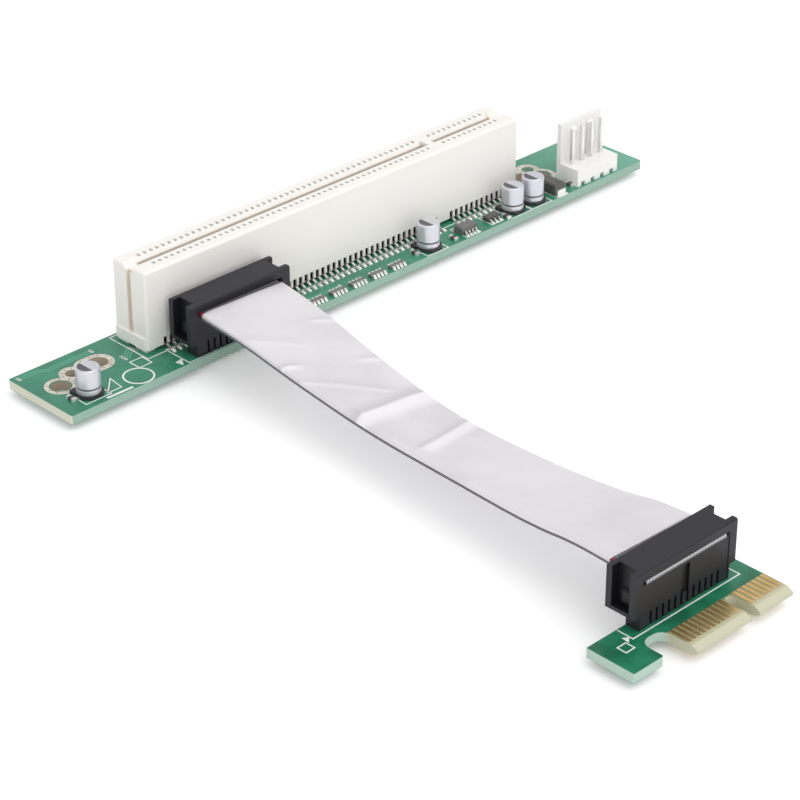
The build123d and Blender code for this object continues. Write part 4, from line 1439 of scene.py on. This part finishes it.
    def can_marks(self) -> None:
        """Dark printed segment on each can's top, on its negative side."""
        angle = np.linspace(*np.radians(self.can_segment), 24)
        segment = self.can_radius * np.stack([np.cos(angle), np.sin(angle)], -1)
        cans = [extent(f"capacitor_{number}_can") for number in range(1, 5)]
        outlines = np.stack([(low[:2] + high[:2]) / 2 + segment for low, high in cans])
        top = float(cans[0][1][2])
        under, proud = self.can_layer
        shape = Shape()
        shape.add_plates(outlines, top - under, top + proud)
        shape.piece("can_marks", CAN_MARK)

    def land_dots(self) -> None:
        """Small plated holes round the mounting holes, in the lands, clear of every mounting hole: brown
        discs with their walls and the shade inside them painted in.
        """
        holes = np.array(HOLES)
        angle = np.arange(self.dots) * np.radians(360 / self.dots) + self.dot_turn
        ring = np.stack([np.cos(angle), np.sin(angle)], -1)
        places = holes[:, None, :2] + (holes[:, None, 2:] + self.dot_away) * ring
        places = places.reshape(-1, 2)
        away = np.linalg.norm(places[:, None] - holes[None, :, :2], axis=-1) - holes[:, 2]
        free = (away > self.dot_clear).all(axis=1) & (places[:, 0] > self.first_dot)
        shape = Shape()
        shape.add_discs(places[free], self.dot_radius, self.base, self.top + self.dot_proud, 10)
        shape.piece("land_dots", HOLE_WALL_AND_SHADE)

    def build(self) -> None:
        """Dress the board and its parts."""
        dress(RISER_MASK, "riser_board")
        dress(HOLE_TIN, "left_hole_land", "right_hole_land")
        dress(PACKAGE_PLASTIC, "power_switch_body", "diode_body", "chip_bodies")
        dress(REGULATOR_PLASTIC, "regulator_body")
        dress(ARRAY_PLASTIC, "resistor_array_bodies")
        dress(TIN, "regulator_leads", "power_switch_leads", "diode_tabs")
        dress(SOLDER, "resistor_array_terminals", "chip_terminals")
        for number in range(1, 5):
            dress(CAP_BASE_PLASTIC, f"capacitor_{number}_base")
            dress(CAN, f"capacitor_{number}_can")
            dress(TIN, f"capacitor_{number}_leads")
        dress(POWER_PLASTIC, "power_header_body")
        dress(TIN, "power_header_pins")
        self.silk()
        self.traces()
        self.pads()
        self.can_marks()
        self.land_dots()
        solder_tails("riser_header", "riser_header_contacts", CONTACT_PITCH, 0.2)
        solder_tails("power", "power_header_pins", 2.5, 0.32)


@dataclass
class EdgeBoard:
    """Small board with the gold edge fingers."""

    near_tongue: float = 11.25
    far_tongue: float = 7.15
    notch: float = 1.9
    notch_depth: float = 5.2
    hook_shorter: float = 2.1
    gap: float = 4.5
    gap_depth: float = 6.4
    gap_round: float = 1.8
    corner: float = 0.15
    bevel: Pair = (1.1, 0.54)
    finger: float = 0.62
    finger_height: float = 0.04
    finger_inset: float = 1.75
    finger_end: float = 5.32
    ink: float = 0.025
    border: Pair = (0.6, 0.5)
    border_line: float = 0.22
    border_end: float = 0.2
    pin_square: tuple[Pair, Pair] = ((-51.9, -55.3), (-50.2, -53.7))
    square_line: float = 0.2
    arrow: tuple[Pair, ...] = ((-49.8, -52.6), (-49.9, -54.0), (-48.9, -53.2))

    def __post_init__(self) -> None:
        """Read the board's box and work out where the tongues start."""
        self.low, self.high = extent("edge_board")
        self.tongue = self.high[0] - self.near_tongue - self.notch - self.far_tongue

    def outline(self, front_step: float) -> np.ndarray:
        """Plan of the board, anticlockwise from above: straight edges, quarter rounds and a half round.

        Args:
            front_step: How far the tongues' front edges are set back.

        Returns:
            Array of points by 2.
        """
        left, front, right, back = self.low[0], self.low[1], self.high[0], self.high[1]
        half, r, c = self.notch / 2, self.gap_round, self.corner
        hook_right, middle = self.tongue - self.gap, self.tongue + self.near_tongue + half
        hook_front, gap_back, start = front + self.hook_shorter, front + self.gap_depth, front + front_step
        turn, sweep = np.linspace(0, np.pi / 2, 7), np.linspace(np.pi, 0, 13)
        gap_left = (hook_right + r * (1 - np.cos(turn)), gap_back - r * (1 - np.sin(turn)))
        gap_right = (self.tongue - r * (1 - np.sin(turn)), gap_back - r * (1 - np.cos(turn)))
        notch_end = (middle + half * np.cos(sweep), front + self.notch_depth - half + half * np.sin(sweep))
        parts = [
            [(left, back), (left, hook_front + c), (left + c, hook_front)],
            [(hook_right - c, hook_front), (hook_right, hook_front + c)],
            np.stack(gap_left, -1), np.stack(gap_right, -1),
            [(self.tongue, start), (middle - half, start)], np.stack(notch_end, -1),
            [(middle + half, start), (right, start), (right, back)],
        ]
        return np.concatenate([np.array(part) for part in parts])

    def board_piece(self) -> None:
        """The board itself: its plan at four levels, with the tongues' front edges bevelled both ways."""
        length, depth = self.bevel
        bottom, top = self.low[2], self.high[2]
        levels = ((bottom, length), (bottom + depth, 0.0), (top - depth, 0.0), (top, length))
        shape = Shape()
        shape.add_shells(np.stack([at_level(self.outline(step), level) for level, step in levels])[None])
        made = shape.piece("edge_board_laminate", EDGE_MASK)
        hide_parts("edge_board")

    def finger_piece(self) -> None:
        """Gold fingers on top, from the mask's border to the pale tip of each tongue."""
        near = self.tongue + self.near_tongue / 2 + np.arange(-5, 6)
        far = self.high[0] - self.far_tongue / 2 + np.arange(-3, 4)
        x = np.concatenate([near, far]) - self.finger / 2
        low = row(x, self.low[1] + self.finger_inset, self.high[2])
        shape = Shape()
        shape.add_slabs(low, low + [self.finger, self.finger_end - self.finger_inset, self.finger_height])
        made = shape.piece("fingers_top", GOLD)
        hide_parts("edge_fingers_top")

    def silk(self) -> None:
        """White printed border round three sides of the header, and two plain marks."""
        low, high = extent("edge_header_body")
        side, ahead = self.border
        left, right = low[0] - side, high[0] + side
        front, back = low[1] - ahead, self.high[1] - self.border_end
        base, top = self.high[2] - SUNK, self.high[2] + self.ink
        shape = Shape()
        path = [(left, back), (left, front), (right, front), (right, back)]
        shape.add_strips(np.array([path]), self.border_line, base, top)
        shape.add_strips(frame_path(*self.pin_square)[None], self.square_line, base, top)
        shape.add_plates(np.array([self.arrow]), base, top)
        shape.piece("edge_silk", SILK)

    def build(self) -> None:
        """Make the board with its fingers and marks, and dress the fingers below."""
        self.board_piece()
        self.finger_piece()
        dress(GOLD, "edge_fingers_bottom")
        self.silk()
        solder_tails("edge_header", "edge_header_contacts", CONTACT_PITCH, 0.2)


@dataclass
class Headers:
    """The two black ribbon headers."""

    pocket: Place = (1.52, 3.3, 0.6)
    pocket_floor: float = 2.3

    def build(self) -> None:
        """Dress both headers and their pins, and close the end pockets at the bottom."""
        length, width, _ = self.pocket
        for board in ("riser", "edge"):
            dress(HEADER_PLASTIC, f"{board}_header_body", f"{board}_header_cover")
            dress(TIN, f"{board}_header_contacts")
            low, high = extent(f"{board}_header_cover")
            starts = np.array([low[0], high[0] - length])
            corners = row(starts, (low[1] + high[1] - width) / 2, board_top() + self.pocket_floor)
            shape = Shape()
            shape.add_slabs(corners, corners + self.pocket)
            shape.piece(f"{board}_pocket_floors", HEADER_PLASTIC)


@dataclass(frozen=True)
class Lamp:
    """Soft lamp that shines from a direction. Its azimuth, elevation and spread are in degrees."""

    name: str
    azimuth: float
    elevation: float
    power: float
    spread: float

    def build(self) -> None:
        """Make the lamp, turned towards the object."""
        data = bpy.data.lights.new(self.name, "SUN")
        data.energy = self.power
        data.angle = math.radians(self.spread)
        a, e = math.radians(self.azimuth), math.radians(self.elevation)
        away = Vector((math.cos(a) * math.cos(e), math.sin(a) * math.cos(e), math.sin(e)))
        put(self.name, data).rotation_euler = away.to_track_quat("Z", "Y").to_euler()


@dataclass
class Studio:
    """Pale floor, soft lamps and the camera at the photograph's angle."""

    image: float = 800.0
    focal: float = 2696.1
    sensor: float = 36.0
    eye: Place = (-277.73, -244.26, 211.17)
    target: Place = (-26.5, 13.73, 2.8)
    roll: float = -0.123
    view_range: Pair = (0.01, 20.0)
    floor_size: float = 4000.0
    floor_colour: Colour = (0.90, 0.90, 0.905)
    floor_glow: float = 0.24
    sky: float = 0.76
    lamps: tuple[Lamp, ...] = (Lamp("key", -60, 62, 0.85, 55), Lamp("fill", -130, 18, 0.6, 90))

    def camera(self) -> None:
        """Place the camera and make it the scene's own."""
        data = bpy.data.cameras.new("camera")
        data.sensor_width = self.sensor
        data.lens = self.focal / self.image * self.sensor
        data.clip_start, data.clip_end = self.view_range
        made = put("camera", data)
        eye, target = Vector(self.eye) * MM, Vector(self.target) * MM
        turn = (target - eye).to_track_quat("-Z", "Y").to_matrix()
        turn = turn @ Matrix.Rotation(math.radians(self.roll), 3, "Z")
        made.matrix_world = Matrix.Translation(eye) @ turn.to_4x4()
        bpy.context.scene.camera = made

    def floor(self) -> None:
        """Lay the pale floor at the standing surface."""
        graph = Graph("floor_white")
        paths = graph.node("ShaderNodeLightPath", {}, {})
        seen = Signal(graph, paths.outputs["Is Camera Ray"]) + Signal(graph, paths.outputs["Is Glossy Ray"])
        graph.close(
            Base_Color=self.floor_colour,
            Roughness=0.35,
            Specular_IOR_Level=0.25,
            Emission_Color=(1.0, 1.0, 1.0),
            Emission_Strength=seen * self.floor_glow,
        )
        half = self.floor_size / 2
        mesh = bpy.data.meshes.new("floor")
        corners = np.array([(-half, -half, 0), (half, -half, 0), (half, half, 0), (-half, half, 0)]) * MM
        mesh.from_pydata(corners.tolist(), [], [(0, 1, 2, 3)])
        mesh.materials.append(graph.material)
        put("floor", mesh)

    def world(self) -> None:
        """Fill the room with plain white light."""
        world = bpy.data.worlds.new("room")
        world.use_nodes = True
        background = world.node_tree.nodes["Background"]
        background.inputs["Color"].default_value = (1.0, 1.0, 1.0, 1.0)
        background.inputs["Strength"].default_value = self.sky
        bpy.context.scene.world = world

    def build(self) -> None:
        """Set up the floor, the light and the camera."""
        bpy.context.scene.view_settings.view_transform = "Standard"
        self.world()
        self.floor()
        for lamp in self.lamps:
            lamp.build()
        self.camera()


def main() -> None:
    """Build every sub-assembly in order."""
    logging.basicConfig(level=logging.INFO, format="%(message)s")
    for part in (RiserBoard(), CardSlot(), Headers(), EdgeBoard(), Cable(), Studio()):
        part.build()


if __name__ == "__main__":
    main()
